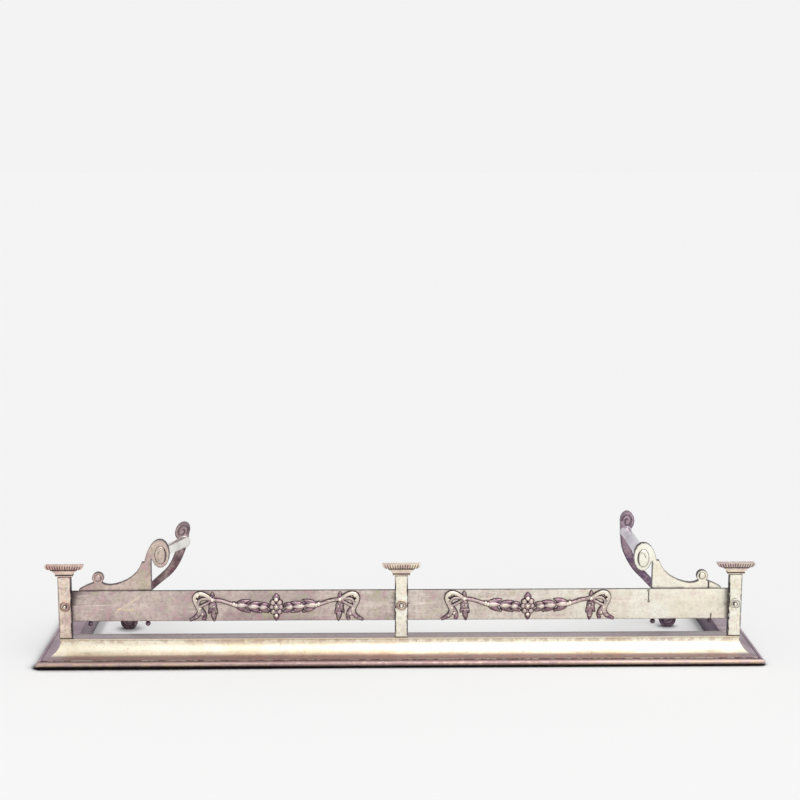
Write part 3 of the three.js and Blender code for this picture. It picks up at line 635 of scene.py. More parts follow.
# the caps: a painted highlight band on the flare, and painted shadow lines under the rim and above the fillet
rimShadeAndHighlight = [(171.8, 177.6, 0.8, 0.3, 0.4, tone(240, 222, 204)), (178.2, 180.4, 0.3, 0.1, 0.92, shadeAndPitDark),
            (168.8, 171.3, 0.3, 0.0, 0.95, shadeAndPitDark)]
lightRubs = [(-512, 112.4, 32, 48, 1.7, 0.75, tone(250, 226, 190)),
             (-521, 98.4, -3, 42, 2.4, 0.6, tone(240, 224, 164)),
             (-535, 97.5, 40, 20, 1.5, 0.7, tone(248, 230, 186)), (-90, 112, 58, 44, 1.6, 0.6, tone(240, 214, 196)),
             (42, 100, 62, 52, 1.5, 0.6, tone(236, 206, 190)), (128, 98, -40, 36, 1.4, 0.5, tone(240, 214, 190))]
# painted shade lines along the posts' sides, darkest on the inboard sides
postSideShade = [(x, 105.0, 90, 132, 2.3, share, shadeAndPitDark) for x, share in (
    (-622.0, 0.95), (-11.5, 0.95), (11.5, 0.95), (622.0, 1.0), (645.0, 0.6), (-645.0, 0.3))]
looks = {
    # the rail: painted shade lines along its top and bottom edges; the light streaks are rubs
    "railBrass": {**common, "rightSpan": (-0.3, 0.72), "rightClear": 0.75, "streaks": lightRubs,
                  "dull": tone(188, 170, 167), "pale": tone(216, 199, 191), "grimeAndShade": 0.3,
                  "bands": [(134.3, 135.6, 0.3, 0.4, 0.5, shadeAndPitDark), (75.9, 77.2, 0.3, 0.4, 0.5, shadeAndPitDark)]},
    # the plates: painted highlight on the raised scroll and buttons, painted shade on their inboard edges and as
    # outlines
    "plateBrass": {**common, "rightSpan": (-0.3, 0.5), "rightClear": 0.7, "crest": (110.2, 111.6, 0.75),
                   "outlineWidth": 3.0, "outline": 0.9, "outlineFull": 0.03, "outlineTo": (108.2, 108.9),
                   "grimeAndShade": 0.45, "inwardShade": (0.85, 0.95),
                   "streaks": [(-573, 159, 0, 34, 14, 0.45, tone(230, 194, 194))]},
    # the posts: painted shade on their sides and as outlines, painted shadow lines under the cap and at the foot
    "postBrass": {**common, "dull": tone(220, 194, 184), "pale": tone(244, 226, 208), "cloudScale": 30.0,
                  "streaks": postSideShade, "rightSpan": (-0.6, 0.0),
                  "outline": 1.0, "outlineWidth": 3.2, "outlineFull": 0.022,
                  "hueScale": 90.0, "sideShade": 0.7,
                  "bands": [(165.2, 167.0, 0.25, 0.1, 0.9, shadeAndPitDark), (44.9, 46.9, 0.3, 0.1, 0.9, shadeAndPitDark)]},
    "capBrass": {**common, "dull": tone(212, 178, 168), "pale": tone(248, 222, 204), "cloudScale": 45.0,
                 "dullRightLighting": tone(222, 196, 186), "paleRightLighting": tone(250, 236, 210),
                 "rightSpan": (-0.6, 0.0), "grimeAndShadeReach": 1.6 * mm, "grimeAndShade": 0.42, "upShadeShare": 0.15, "turnedFaceShadeShare": 0.0,
                 "sideShade": 0.3, "outline": 0.1,
                 "streaks": [(633.5, 184, 0, 100, 12, 0.4, tone(150, 118, 156)),
                             (-633.5, 184, 0, 100, 12, 0.28, tone(150, 110, 118))],
                 "pinkTint": tone(214, 150, 156), "greenTint": tone(206, 196, 130), "hue": 0.6, "hueScale": 110.0,
                 "bands": rimShadeAndHighlight},
    # the kerb: a pale tone that carries the cove's painted highlight, painted shade on the ledge and on its rear
    "kerbBrass": {**common, "dull": tone(240, 224, 196), "pale": tone(250, 243, 222),
                  "dullRightLighting": tone(248, 240, 214), "paleRightLighting": tone(253, 251, 238), "rightSpan": (0.1, 0.6),
                  "turnedFaceShadeShare": 0.0, "upShadeShare": 0.9, "upFrom": 0.9, "upShade": tone(136, 117, 130), "cloudScale": 9.0,
                  "backShare": 0.95, "backDull": tone(136, 118, 116), "backPale": tone(176, 156, 146),
                  "bandsBehind": 0.0,
                  "rough": 0.34, "pits": 0.9, "fine": 0.2, "fineTint": tone(214, 186, 160), "hue": 0.25,
                  "hueScale": 60.0, "outline": 0.35, "grimeAndShade": 0.35,
                  # bands from the top: tarnish flecks along the cove's top and a yellow lip under the ledge; painted
                  # shade over the cove's lower part and a painted shadow line in the groove; a painted highlight line
                  # along the bead's top; the bead's own tone and patches; a painted contact shadow along the bottom
                  "bands": [(36.0, 42.4, 2.4, 1.0, 0.42, tone(176, 138, 126)),
                            (41.4, 42.3, 0.3, 0.95, 0.5, tone(104, 70, 66)),
                            (42.4, 44.8, 0.3, 0.3, 0.5, tone(232, 210, 170)),
                            (15.5, 22.0, 3.2, 0.95, 0.3, tone(222, 200, 184)),
                            (11.8, 16.0, 2.4, 0.9, 0.85, tone(168, 136, 140)),
                            (11.4, 13.3, 0.3, 0.4, 0.9, tone(88, 60, 66)),
                            (10.2, 11.6, 0.4, 0.4, 0.3, tone(226, 200, 194)),
                            (1.0, 11.4, 0.6, 0.0, 0.9, tone(176, 148, 147)),
                            (3.0, 9.5, 0.8, 0.95, 0.5, tone(214, 188, 154)),
                            (-1.0, 1.4, 0.4, 0.0, 0.97, shadeAndPitDark)],
                  "sunk": (94.0, 104.0, 0.5), "sunkTop": True,
                  "streaks": [(10, 7.0, 0, 820, 9.0, 0.6, tone(136, 108, 114)),
                              (0, 32, 0, 640, 13, 0.25, tone(222, 204, 184))]},
    # the returns: a darker purple tone, painted shade on their inner walls and a painted contact shadow along the
    # bottom
    "returnBrass": {**common, "dull": tone(140, 120, 134), "pale": tone(172, 150, 162),
                    "dullRightLighting": tone(154, 138, 148), "paleRightLighting": tone(184, 168, 176), "inwardShade": (0.34, 0.95),
                    "turnedFaceShade": tone(84, 60, 88), "turnedFaceShadeShare": 0.0, "upShadeShare": 0.3, "upShade": tone(122, 104, 118),
                    "hue": 0.25, "pinkTint": tone(184, 152, 160), "greenTint": tone(172, 166, 148), "backShare": 0.3,
                    "outline": 0.6, "outlineWidth": 2.0, "bands": [(-1.0, 2.6, 0.4, 0.0, 0.95, shadeAndPitDark)]},
    # the cast swags: painted highlight on the raised parts, painted shade on the foot, and grime with painted shade in
    # the hollows
    "castBrass": {**common, "backShare": 0.0, "dull": tone(100, 72, 94), "pale": tone(156, 124, 142),
                  "dullRightLighting": tone(112, 80, 98), "paleRightLighting": tone(166, 134, 142),
                  "crest": (115.6, 118.2, 0.85), "sunk": (112.7, 114.2, 0.97),
                  "grimeAndShadeReach": 3 * mm, "grimeAndShade": 1.0, "turnedFaceShadeShare": 0.0, "upShadeShare": 0.0, "wear": 0.3, "outline": 0.0,
                  "hueScale": 120.0, "cloudScale": 80.0, "rough": 0.26, "dark": tone(28, 12, 26), "bump": 0.2},
    "dropBrass": {**common, "dull": tone(54, 34, 60), "pale": tone(96, 68, 96), "dullRightLighting": tone(50, 30, 62),
                  "paleRightLighting": tone(92, 64, 100), "turnedFaceShadeShare": 0.0, "backShare": 0.0, "hue": 0.3,
                  "upShadeShare": 0.0, "outline": 0.2, "rough": 0.22, "cloudScale": 90.0},
    # the legs: a darker copy of the brass as they stand in shade behind the plates, with painted highlight on the
    # scroll beads, painted shade on edges, inboard faces and foot, and a lighter band across the head
    "legBrass": {**common, "dull": tone(140, 116, 126), "pale": tone(206, 184, 184), "rightSpan": (-0.3, 0.3),
                 "dullRightLighting": tone(132, 108, 142), "paleRightLighting": tone(196, 174, 194),
                 "backShare": 0.6, "outlineFull": 0.03, "inwardShade": (0.95, 0.95), "grimeAndShade": 0.35,
                 "turnedFaceShade": tone(30, 16, 30), "turnedFaceShadeShare": 0.95, "wornAndHighlight": tone(214, 190, 182), "wear": 0.1,
                 "fineTint": tone(80, 58, 76), "pinkTint": tone(170, 110, 124), "greenTint": tone(140, 134, 116),
                 "upShadeShare": 0.2, "cloudScale": 50.0, "hue": 0.5, "outlineWidth": 3.4, "outline": 0.9,
                 "crest": (-70.9, -70.0, 0.6), "bandsBehind": 0.3,
                 "bands": [(-1.0, 33.0, 3.0, 0.3, 0.65, tone(56, 34, 58)),
                           (180.0, 260.0, 8.0, 0.3, 0.45, tone(200, 176, 184))]},
    "barBrass": {**common, "dull": tone(206, 206, 200), "pale": tone(240, 240, 234),
                 "dullRightLighting": tone(176, 170, 184), "paleRightLighting": tone(212, 206, 216), "outline": 0.3, "backShare": 0.0,
                 "turnedFaceShadeShare": 0.0, "upShadeShare": 0.0, "rough": 0.2, "fine": 0.15, "hue": 0.25, "pits": 0.3},
    "fastenerSteel": {**common, "backShare": 0.0, "dull": tone(112, 106, 102), "pale": tone(140, 134, 130),
                      "dullRightLighting": tone(112, 106, 102), "paleRightLighting": tone(140, 134, 130),
                      "turnedFaceShadeShare": 0.2, "turnedFaceShade": tone(80, 74, 72), "upShadeShare": 0.0, "hue": 0.15,
                      "wornAndHighlight": tone(190, 186, 180), "rough": 0.5, "cloudScale": 80.0, "outline": 0.3},
}
# the right rosette: pale and plain, with painted glare washing out its rings
looks["glareBrass"] = {**looks["postBrass"], "outline": 0.1, "grimeAndShade": 0.2, "turnedFaceShadeShare": 0.2, "sideShade": 0.0,
                       "bands": [], "streaks": []}
looks["rosetteBrass"] = {**looks["capBrass"], "grimeAndShade": 0.95, "grimeAndShadeReach": 3.2 * mm, "outline": 0.7, "sideShade": 0.0,
                         "streaks": [], "bands": []}
finishes = {name: metalFinish(name, look) for name, look in looks.items()}
print("finishes ready:", len(finishes))

# ---- kerb, posts and rail: the frame's shapes with softened, hand-worn edges ----

postPlaces = (("left", -633.5), ("middle", 0.0), ("right", 633.5))
softenedPieces = {  # name, edge radius in mm, slot and finish
    "kerb_front": ("kerbFront", 0.5, "pale_brass", "kerbBrass"),
    "kerb_left_return": ("kerbLeftReturn", 0.5, "dull_brass", "returnBrass"),
    "kerb_right_return": ("kerbRightReturn", 0.5, "dull_brass", "returnBrass"),
    "left_post": ("leftPost", 1.5, "pale_brass", "postBrass"),
    "middle_post": ("middlePost", 1.5, "pale_brass", "postBrass"),
    "right_post": ("rightPost", 1.5, "pale_brass", "postBrass"),
}
coveShape = {"front": 10.243, "foot": 13.5, "top": 42.0, "width": 30.757, "steps": 14,
             "flatter": 0.4, "halfLength": 685.0, "halfDepth": 165.0}


def flattenCove(piece):  # the cove is drawn out towards its chord, level by level, and the mitre goes with it
    rise = coveShape["top"] - coveShape["foot"]
    for step in range(1, coveShape["steps"]):
        angle = math.pi / 2 * step / coveShape["steps"]
        run, level = coveShape["width"] * math.sin(angle), coveShape["top"] - rise * math.cos(angle)
        out = coveShape["flatter"] * (run - coveShape["width"] * (level - coveShape["foot"]) / rise)
        inset = coveShape["front"] + run
        for side in (-1, 1):
            def onLine(place):
                return (abs(place.z - level * mm) < 0.02 * mm
                        and abs(place.x - side * (coveShape["halfLength"] - inset) * mm) < 0.1 * mm)

            def onMitre(place):
                return onLine(place) and abs(place.y + (coveShape["halfDepth"] - inset) * mm) < 0.1 * mm

            reshape(piece, onMitre, shift=(side * out * mm, -out * mm, 0))
            reshape(piece, lambda place: onLine(place) and place.y > 0, shift=(side * out * mm, 0, 0))


for node, (name, width, slot, finish) in softenedPieces.items():
    piece = mergedCopy(node, name)
    if node.startswith("kerb"):
        flattenCove(piece)
    finishPiece(roundEdges(piece, width * mm), name, node, finish)
print("kerb and posts ready")

railCuts = (  # old cuts in the rail's face: x, z, width and height in mm
    (470.5, 124.0, 1.3, 26.0), (469.5, 133.6, 3.8, 5.0), (471.0, 110.6, 3.8, 3.4), (590.5, 80.5, 1.8, 12.0))
rail = mergedCopy("front_rail", "frontRail")
for x, z, width, height in railCuts:
    cutAway(rail, (x, -112.5, z), (width, 6.0, height))
finishPiece(roundEdges(rail, 0.35 * mm), "frontRail", "front_rail", "railBrass")
print("rail ready")

# ---- post caps: gadrooned rim, flare and fillet ----

capShape = {
    "rim": (71.5, 18.0, 8.0), "fillet": (33.0, 15.0, 3.0), "flareTop": (50.0, 15.8), "flare": 10.0,
    "neck": (0.93, 0.97), "neckInset": 0.6, "neckRise": 0.8, "steps": 7, "hollow": 1.25,
    "ribs": (15, 3), "ribRadius": 2.2, "middle": -118.0, "bottom": 167.0,
}


def capMesh():
    width, depth, height = [value * mm for value in capShape["rim"]]
    bottomWidth, bottomDepth, filletHeight = [value * mm for value in capShape["fillet"]]
    topWidth, topDepth = [value * mm for value in capShape["flareTop"]]
    radius, steps = capShape["ribRadius"] * mm, capShape["steps"]
    # flare: a block grown upwards in steps, each wider than the last
    flare = block((0, 0, filletHeight / 2), (bottomWidth, bottomDepth, filletHeight))
    neckWidth, neckDepth = bottomWidth * capShape["neck"][0], bottomDepth * capShape["neck"][1]
    choose(flare, lambda normal: normal.z > 0.9, "FACE")
    bpy.ops.mesh.inset(thickness=capShape["neckInset"] * mm)
    bpy.ops.mesh.extrude_region_move(TRANSFORM_OT_translate={"value": (0, 0, capShape["neckRise"] * mm)})
    rise = (capShape["flare"] - capShape["neckRise"]) * mm / steps
    previous = (neckWidth, neckDepth)
    for step in range(1, steps + 1):
        share = (step / steps) ** capShape["hollow"]
        current = (neckWidth + (topWidth - neckWidth) * share, neckDepth + (topDepth - neckDepth) * share)
        grow((0, 0, rise), (current[0] / previous[0], current[1] / previous[1], 1))
        previous = current
    leaveEdit()
    # rim: a core with a row of ribs along each side, each a bar with rounded ends
    base = filletHeight + capShape["flare"] * mm
    core = block((0, 0, base + height / 2), (width - 2 * radius, depth - 2 * radius, height - 0.6 * mm))
    roundEdges(core, 0.5 * mm)
    rib = roundEdges(rod((0, 0, base + height / 2), radius, height, 14), 1.2 * mm, steps=3, degrees=60)
    along, across = capShape["ribs"]
    spanX, spanY = width - 2 * radius, depth - 2 * radius
    ribs = []
    for index in range(along):
        x = -spanX / 2 + spanX * index / (along - 1)
        ribs += [copyOf(rib, (x, -spanY / 2, 0)), copyOf(rib, (x, spanY / 2, 0))]
    for index in range(1, across):
        y = -spanY / 2 + spanY * index / across
        ribs += [copyOf(rib, (-spanX / 2, y, 0)), copyOf(rib, (spanX / 2, y, 0))]
    discard(rib)
    rim = fuse([core, *ribs])
    for top, share in ((3.4, 0.92), (1.2, 0.9)):  # the rim's rounded underside draws in
        reshape(rim, lambda place: place.z < base + top * mm, (share, (1 + share) / 2, 1), (0, 0, base))
    roundEdges(flare, 0.35 * mm)
    return fuse([flare, rim])


cap = capMesh()
for side, x in postPlaces:
    piece = settle(copyOf(cap, (x * mm, capShape["middle"] * mm, capShape["bottom"] * mm)))
    finishPiece(smooth(piece, 40), side + "Cap", side + "_post_cap", "capBrass")
discard(cap)
print("caps ready")

# ---- rosettes and their bolts ----

rosetteShape = {
    "height": 108.5, "front": -124.0, "headBack": -124.5, "shank": (-114.5, 2.2, 23.0),  # middle, radius, length
    "rings": [(10.5, 0.8), (10.3, 2.2), (9.4, 3.0), (8.4, 2.6), (7.7, 0.7), (5.4, 0.5), (3.0, 0.5)],
    "head": [(3.4, 0.6), (4.4, 2.2), (4.4, 3.0), (4.0, 4.2), (3.1, 5.2), (1.7, 5.9)],
}
facingFront = (math.radians(90), 0, 0)


def turnedStack(rings, bottom=0.0, sides=40, lean=(0, 0)):  # a disc grown upwards ring by ring: radius, height
    pickNone()
    radius, level = rings[0][0], bottom
    bpy.ops.mesh.primitive_circle_add(vertices=sides, radius=radius * mm, fill_type="NGON",
                                      location=(0, 0, bottom * mm))
    item = bpy.context.object
    editAll(item)
    for nextRadius, height in rings:
        rise, share = (height - level) * mm, nextRadius / radius
        grow((lean[0] * rise, lean[1] * rise, rise), (share, share, 1))
        radius, level = nextRadius, height
    leaveEdit()
    return outward(settle(item))


rosette = turnedStack(rosetteShape["rings"])
boltHead = turnedStack(rosetteShape["head"], sides=32)
shankMiddle, shankRadius, shankLength = rosetteShape["shank"]
for side, x in postPlaces:
    discPlace, headPlace, shankPlace = [(x * mm, y * mm, rosetteShape["height"] * mm) for y in (
        rosetteShape["front"], rosetteShape["headBack"], shankMiddle)]
    disc = settle(copyOf(rosette, discPlace, facingFront))
    finish = "glareBrass" if side == "right" else "rosetteBrass"  # the right one is painted pale and plain, washed out by glare
    finishPiece(smooth(disc, 50), side + "Rosette", side + "_rosette", finish)
    shank = roundEdges(rod(shankPlace, shankRadius * mm, shankLength * mm, 20, facingFront), 0.3 * mm)
    bolt = fuse([copyOf(boltHead, headPlace, facingFront), shank])
    finishPiece(smooth(bolt, 50), side + "RosetteBolt", side + "_rosette_bolt", "postBrass")
discard(rosette, boltHead)
print("rosettes ready")

# ---- the cast bow and swag mounts, modelled lying flat with their front upwards ----

swagShape = {
    "centre": {"left": -236.8, "right": 240.2}, "bottom": 76.0, "face": -112.0,
    "knot": (120.5, 41.5), "collar": (79.0, 32.0), "medallion": 27.0,
    "pinCentre": {"left": -239.0, "right": 239.0}, "pins": ((-122.0, 41.5), (0.0, 27.0), (122.0, 41.5)),
    "pinRadius": 1.8, "pinLength": 8.3, "pinMiddle": -108.15,  # the pins go through the rail and its nuts
}
spindleLength = 10
leafRings = [(0.06, 0.5), (0.2, 0.86), (0.4, 1.0), (0.62, 0.84), (0.82, 0.5), (0.95, 0.18), (1.0, 0.02)]
budRings = [(0.08, 0.55), (0.3, 1.0), (0.55, 0.85), (0.8, 0.4), (1.0, 0.03)]


def spindle(halfWidth, halfDepth, rings, ridge=0.0):  # a leaf or bud, pointed at both ends
    pickNone()
    radius, level = 0.02, 0.0
    bpy.ops.mesh.primitive_circle_add(vertices=12, radius=radius, fill_type="NGON", rotation=(-math.pi / 2, 0, 0))
    item = settle(bpy.context.object)
    editAll(item)
    for along, share in rings:
        grow((0, along - level, 0), (share / radius, 1, share / radius))
        radius, level = share, along
    leaveEdit()
    item.scale = (halfWidth * mm, spindleLength * mm, halfDepth * mm)
    settle(item)
    if ridge:
        reshape(item, lambda place: place.z > halfDepth * mm * 0.2 and abs(place.x) < halfWidth * mm * 0.12,
                shift=(0, 0, ridge * mm))
    outward(item)
    applied(item, "SUBSURF", levels=1, render_levels=1)
    return smooth(item, 60)


def laid(item, start, end, width, lift):  # a spindle laid from start to end
    run = Vector(end) - Vector(start)
    return copyOf(item, (start[0] * mm, start[1] * mm, lift * mm),
                  (0, 0, math.atan2(run.y, run.x) - math.pi / 2), (width, run.length / spindleLength, 1))


def ribbon(points, halfWidth, halfThick, thinned=0.55):  # thinned: what the far end loses of its width
    shape = bpy.data.curves.new("ribbonSection", "CURVE")
    edge = shape.splines.new("BEZIER")
    edge.bezier_points.add(3)
    for point, (x, y) in zip(edge.bezier_points, ((1, 0), (0, 1), (-1, 0), (0, -1))):
        point.co = (x * halfWidth * mm, y * halfThick * mm, 0)
        point.handle_left_type = point.handle_right_type = "AUTO"
    edge.use_cyclic_u = True
    edge.resolution_u = 4
    section = bpy.data.objects.new("ribbonSection", shape)
    scene.collection.objects.link(section)
    radii = [1.0 - thinned * (index / (len(points) - 1)) ** 2 for index in range(len(points))]
    item = strand("ribbon", points, radii, 5, twist_mode="Z_UP", bevel_mode="OBJECT", bevel_object=section)
    discard(section)
    return outward(item)


def ball(place, radius, squash, lift):
    return dome((place[0] * mm, place[1] * mm, lift * mm), radius * mm, (1, 1, squash), 16, 10)


def swagHalf():
    x, y = swagShape["knot"]
    collarX, collarY = swagShape["collar"]
    leaf = spindle(1.0, 2.6, leafRings, 0.5)
    bud = spindle(4.2, 3.4, budRings)
    parts = [
        # knot ball in its ring, a bud over it, a lobed leaf hanging from it
        ball((x, y), 3.9, 0.9, 3.2), ball((x, y), 5.8, 0.6, 0.4), laid(bud, (x, y + 3), (x + 0.5, y + 15.5), 1.0, 0.8),
        laid(leaf, (x, y - 2), (x - 1, y - 29), 8.0, 0.8), laid(leaf, (x - 1, y - 12), (x - 9, y - 28), 4.2, 1.4),
        laid(leaf, (x, y - 12), (x + 7.5, y - 27), 3.8, 1.4), laid(leaf, (x - 1, y - 20), (x - 3, y - 42), 5.0, 1.6),
        ball((x - 3, y - 13), 2.6, 0.8, 3.2), ball((x + 2.6, y - 11), 2.2, 0.8, 3.2),
        # loop of the bow and the strands that cross behind the knot
        ribbon([(x, y, 3), (131, 50, 3.5), (141, 54.5, 4), (151, 53, 4), (155, 45, 3.5), (153, 36, 3), (148, 27, 3)],
               3.7, 2.1, 0),
        ribbon([(x, y, 2.5), (132, 44, 3), (142, 43.5, 3.2), (148, 37, 3), (147, 28, 3)], 2.6, 1.8, 0),
        ribbon([(x, y, 2), (131, 35, 3), (138, 31.5, 3), (145, 28, 3)], 2.6, 1.8, 0),
        # tails: the outer one runs out to a curled point, the inner one hangs beside the leaf
        ribbon([(148, 28, 3), (144, 21, 3.4), (147, 13, 2.6), (152, 8, 2.2), (158, 4, 1.6), (164, 1.6, 1)], 4.4, 2.0),
        ribbon([(147, 28, 2), (140, 21, 2.8), (136, 13, 2.4), (135, 6, 1.8), (137, 1.5, 1)], 3.9, 1.9),
        ball((149.5, 50), 4.6, 0.75, 3.2), ball((151, 40), 3.2, 0.8, 3), ball((137, 50.5), 2.6, 0.8, 3.4),
        ball((144.5, 24), 3.6, 0.8, 2.8), ball((140, 13.5), 3.8, 0.75, 2.4), ball((151, 8), 3.6, 0.75, 2.0),
        ball((136.5, 4.5), 2.8, 0.7, 1.6),
        # stem with its collar
        ribbon([(x, y, 2), (112, 41, 2.2), (100, 38.5, 2.2), (88, 34, 2.4), (collarX, collarY, 2.6)], 3.2, 2.5, 0),
        ball((collarX + 1, collarY + 0.6), 4.9, 0.85, 2), ball((collarX - 3.4, collarY - 1.2), 4.4, 0.85, 2.2),
    ]
    # laurel: pairs of leaves lapped towards the medallion, a middle leaf over each pair
    for pair, (x, y, reach) in enumerate(((76, 31, 1.0), (53, 28.5, 0.96), (31, 27, 0.62))):
        parts += [
            laid(leaf, (x, y + 2), (x - 27 * reach, y + 9.5 - 2 * pair), 5.2, 1.6),
            laid(leaf, (x, y), (x - 24 * reach, y - 14 + 2 * pair), 5.8, 1.2),
            laid(leaf, (x + 2, y), (x - 26 * reach, y - 1), 5.4, 3.0),
            ball((x - 24 * reach, y - 12.5 + 2 * pair), 2.6, 0.8, 1.4),
        ]
    discard(leaf, bud)
    return fuse(parts)


def medallion():
    rise = swagShape["medallion"]
    leaf = spindle(1.0, 1.6, leafRings)
    bud = spindle(4.6, 3.8, budRings)
    # an oval dish with a rolled border
    rim = turnedStack([(10.4, 1.2), (10.6, 2.4), (9.6, 3.4), (8.4, 3.2), (7.6, 2.0), (5.0, 1.7)], sides=28)
    rim.location, rim.scale = (0, rise * mm, 0), (1.0, 1.28, 1)
    parts = [smooth(settle(rim), 50)]
    for index in range(8):
        angle = 2 * math.pi * (index + 0.5) / 8
        parts += [laid(leaf, (0, rise), (6.6 * math.cos(angle), rise + 8.2 * math.sin(angle)), 2.2, 3.4)]
    for across, along, radius in ((6.4, 8.8, 5.4), (8.8, 0.0, 4.8), (6.0, -9.2, 5.0)):
        parts += [ball((side * across, rise + along), radius, 0.55, 2.4) for side in (1, -1)]
    parts += [
        laid(bud, (0, rise + 12), (0, rise + 26.5), 1.6, 1.2), laid(bud, (0, rise - 13), (0, rise - 27), 1.25, 1.2),
        ball((0, rise + 15), 4.2, 0.85, 3.4), ball((0, rise - 16), 4.0, 0.85, 3.2), ball((0, rise), 2.9, 0.8, 4.4),
    ]
    discard(leaf, bud)
    return fuse(parts)


half = swagHalf()
otherHalf = settle(copyOf(half, size=(-1, 1, 1)))
editAll(otherHalf)
bpy.ops.mesh.flip_normals()
leaveEdit()
swag = fuse([half, otherHalf, medallion()])
shadowFoot = applied(copyOf(swag), "DISPLACE", strength=1.3 * mm, mid_level=0.0)  # thin foot all round the casting, painted dark through the sunk share as the casting's shadow outline
shadowFoot.scale = (1, 1, 0.17)
swag = fuse([swag, settle(shadowFoot)])
reshape(swag, lambda place: place.z < 0, (1, 1, 0.02))  # the back lies flat on the rail
crown = 6.6 * mm  # what stands higher is pressed down
reshape(swag, lambda place: place.z > crown, (1, 1, 0.3), (0, 0, crown))
for side, centre in swagShape["centre"].items():
    piece = settle(copyOf(swag, (centre * mm, swagShape["face"] * mm, swagShape["bottom"] * mm), facingFront))
    pins = [rod(((swagShape["pinCentre"][side] + reach) * mm, swagShape["pinMiddle"] * mm,
                 (swagShape["bottom"] + rise) * mm),
                swagShape["pinRadius"] * mm, swagShape["pinLength"] * mm, 12, facingFront)
            for reach, rise in swagShape["pins"]]
    piece = smooth(fuse([piece, *pins]), 60)
    finishPiece(piece, side + "SwagMount", side + "_swag_mount", "castBrass")
discard(swag)
print("swags ready")

# ---- scroll plates, bars, legs and ball drops ----

restShape = {
    "left": {"sign": -1, "volute": (454.5, 206.3), "head": (433.0, 208.0), "tilt": 30.0, "barEnd": (429.0, 182.5),
             "headDrop": -4.5, "headScale": (0.93, 1, 0.97)},
    "right": {"sign": 1, "volute": (458.5, 196.5), "head": (457.0, 221.5), "tilt": 0.0, "barEnd": (454.5, 200.0),
              "headDrop": 0.0, "headScale": (0.94, 1, 1)},
    "headHalf": (10.8, 15.4), "headReach": 25.0, "foot": (544.0, 17.0), "footHalf": (13.6, 13.6),
    "ball": (572.4, 159.4), "ballDome": (6.2, 1.8, 6.2), "voluteDome": (10.6, 2.4, 17.0),
    "plateFront": -108.0, "plateBack": -98.0, "legFront": 71.0, "legBack": 83.0,
    "barRadius": 12.0, "barStart": -109.6,
    "shoulderCut": ((585.0, -109.0, 146.0), (1.5, 14.0, 22.0)),  # an old cut in the right plate
    "drops": (590.0, 481.0), "dropMiddle": -103.0, "dropBottom": 64.02,
    "dropNeck": [(2.2, 73.6), (3.3, 74.4), (3.5, 75.6), (2.8, 76.8), (2.2, 77.6), (3.2, 78.2), (3.6, 78.8),
                 (3.6, 80.0), (1.8, 80.0), (1.8, 88.6)],
}


def scrollBead(centre, halves, turns, start, sign, y, tilt=0.0, radius=1.5, shrink=0.72):
    points, count, lean = [], int(turns * 18), math.radians(tilt)
    for index in range(count + 1):
        share = index / count
        angle = math.radians(start) - 2 * math.pi * turns * share
        reach = 1.0 - shrink * share
        u, v = halves[0] * reach * math.cos(angle), halves[1] * reach * math.sin(angle)
        points.append((sign * (centre[0] + u * math.cos(lean) - v * math.sin(lean)), y,
                       centre[1] + u * math.sin(lean) + v * math.cos(lean)))
    radii = [1.0 - 0.35 * index / len(points) for index in range(len(points))]
    return smooth(outward(strand("scrollBead", points, radii, 2, bevel_depth=radius * mm, bevel_resolution=2)), 60)


dropRings = []
for step in range(1, 13):  # the ball, then the neck above it
    angle = -math.pi / 2 + math.pi * 0.84 * step / 12
    dropRings.append((5.0 * math.cos(angle), 69.0 + 5.0 * math.sin(angle)))
ballDrop = turnedStack(dropRings + restShape["dropNeck"], bottom=restShape["dropBottom"], sides=24)
front, back, legFront, legBack = [restShape[place] for place in ("plateFront", "plateBack", "legFront", "legBack")]

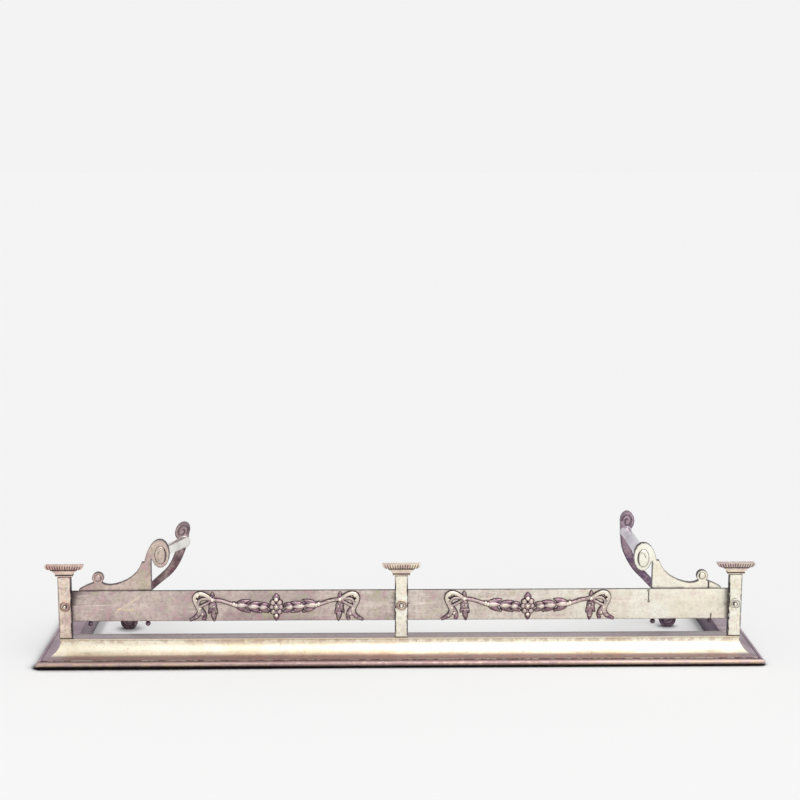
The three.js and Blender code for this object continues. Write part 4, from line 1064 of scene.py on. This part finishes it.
for side in ("left", "right"):
    rest = restShape[side]
    sign, volute = rest["sign"], rest["volute"]

    # plate: softened outline, a raised scroll and the buttons of its eye and its ball
    plate = roundEdges(mergedCopy(side + "_scroll_plate", side + "ScrollPlate"), 2.0 * mm, 3)
    if side == "right":
        cutAway(plate, *restShape["shoulderCut"])
    eyeX, eyeZ = volute[0] + sign * 0.6, volute[1] - 2.5
    bead = scrollBead((eyeX - 0.6, eyeZ + 1.5), (5.4, 10.4), 0.36, 130, sign, front - 2.3, shrink=0.1)
    domes = [dome((sign * x * mm, front * mm, z * mm), mm, size, 24, 12) for (x, z), size in (
        (restShape["ball"], restShape["ballDome"]), ((eyeX, eyeZ), restShape["voluteDome"]))]
    plate = fuse([plate, bead, *domes])
    finishPiece(plate, side + "ScrollPlate", side + "_scroll_plate", "plateBrass")

    # bar: a turned rod whose far end is moved to the leg's eye
    radius, start = restShape["barRadius"], restShape["barStart"]
    rings = [(6.0, front - 0.1), (5.6, front), (4.4, front), (4.4, back), (radius - 1, back), (radius, back + 1),
             (radius, back + 5), (radius - 1.2, back + 6.4), (radius - 1.2, legFront - 6.4), (radius, legFront - 5),
             (radius, legFront - 1), (radius - 1, legFront), (4.4, legFront), (4.4, legBack), (6.0, legBack),
             (5.4, legBack + 1.2), (3.4, legBack + 1.9)]
    run = legFront - back
    lean = (sign * (rest["barEnd"][0] - volute[0]) / run, -(rest["barEnd"][1] - volute[1]) / run)
    bar = turnedStack(rings, bottom=start, lean=lean)
    bar.rotation_euler = (math.radians(-90), 0, 0)
    bar.location = ((sign * volute[0] + lean[0] * (start - back)) * mm, 0,
                    (volute[1] - lean[1] * (start - back)) * mm)
    bar = smooth(outward(settle(bar)), 40)
    finishPiece(bar, side + "RestBar", side + "_rest_bar", "barBrass")

    # leg: softened strap with raised scrolls on its head and foot
    leg = roundEdges(mergedCopy(side + "_scroll_leg", side + "ScrollLeg"), 3.2 * mm, 4)
    headX, headZ = sign * rest["head"][0] * mm, rest["head"][1] * mm
    reshape(leg, lambda place: math.hypot(place.x - headX, place.z - headZ) < restShape["headReach"] * mm,
            rest["headScale"], (headX, 0, headZ), (0, 0, rest["headDrop"] * mm))
    headPlace = (rest["head"][0], rest["head"][1] + rest["headDrop"])
    headBead = scrollBead(headPlace, restShape["headHalf"], 1.3, 180, sign, legFront, rest["tilt"], 1.0)
    footBead = scrollBead(restShape["foot"], restShape["footHalf"], 1.3, 0, sign, legFront, radius=1.4)
    leg = fuse([leg, headBead, footBead])
    finishPiece(leg, side + "ScrollLeg", side + "_scroll_leg", "legBrass")

    for number, reach in enumerate(restShape["drops"], 1):
        drop = settle(copyOf(ballDrop, (sign * reach * mm, restShape["dropMiddle"] * mm, 0)))
        finishPiece(smooth(drop, 40), f"{side}BallDrop{number}", f"{side}_ball_drop_{number}",
                    "dropBrass")
discard(ballDrop)
print("tool rests ready")

# ---- fixings that stay as the frame has them ----

fixings = {
    "fastenerSteel": ["left_mitre_bracket", "right_mitre_bracket", *[side + "_post_screw" for side, x in postPlaces],
                      *[f"swag_nut_{number}" for number in range(1, 7)]],
    "railBrass": [*[side + "_rosette_nut" for side, x in postPlaces],
                  *[f"{side}_plate_rivet_{number}" for side in ("left", "right") for number in (1, 2, 3)]],
}
for finish, names in fixings.items():
    for name in names:
        item = nodes[name]
        item.data.materials.clear()
        item.data.materials.append(finishes[finish])
        weld = item.modifiers.new("weld", "WELD")
        weld.merge_threshold = weldReach
        soften = item.modifiers.new("soften", "BEVEL")
        soften.width = 0.25 * mm
        soften.segments = 2
        soften.limit_method = "ANGLE"
        soften.angle_limit = math.radians(35)
print("fixings ready")

pickNone()
bpy.context.view_layer.update()
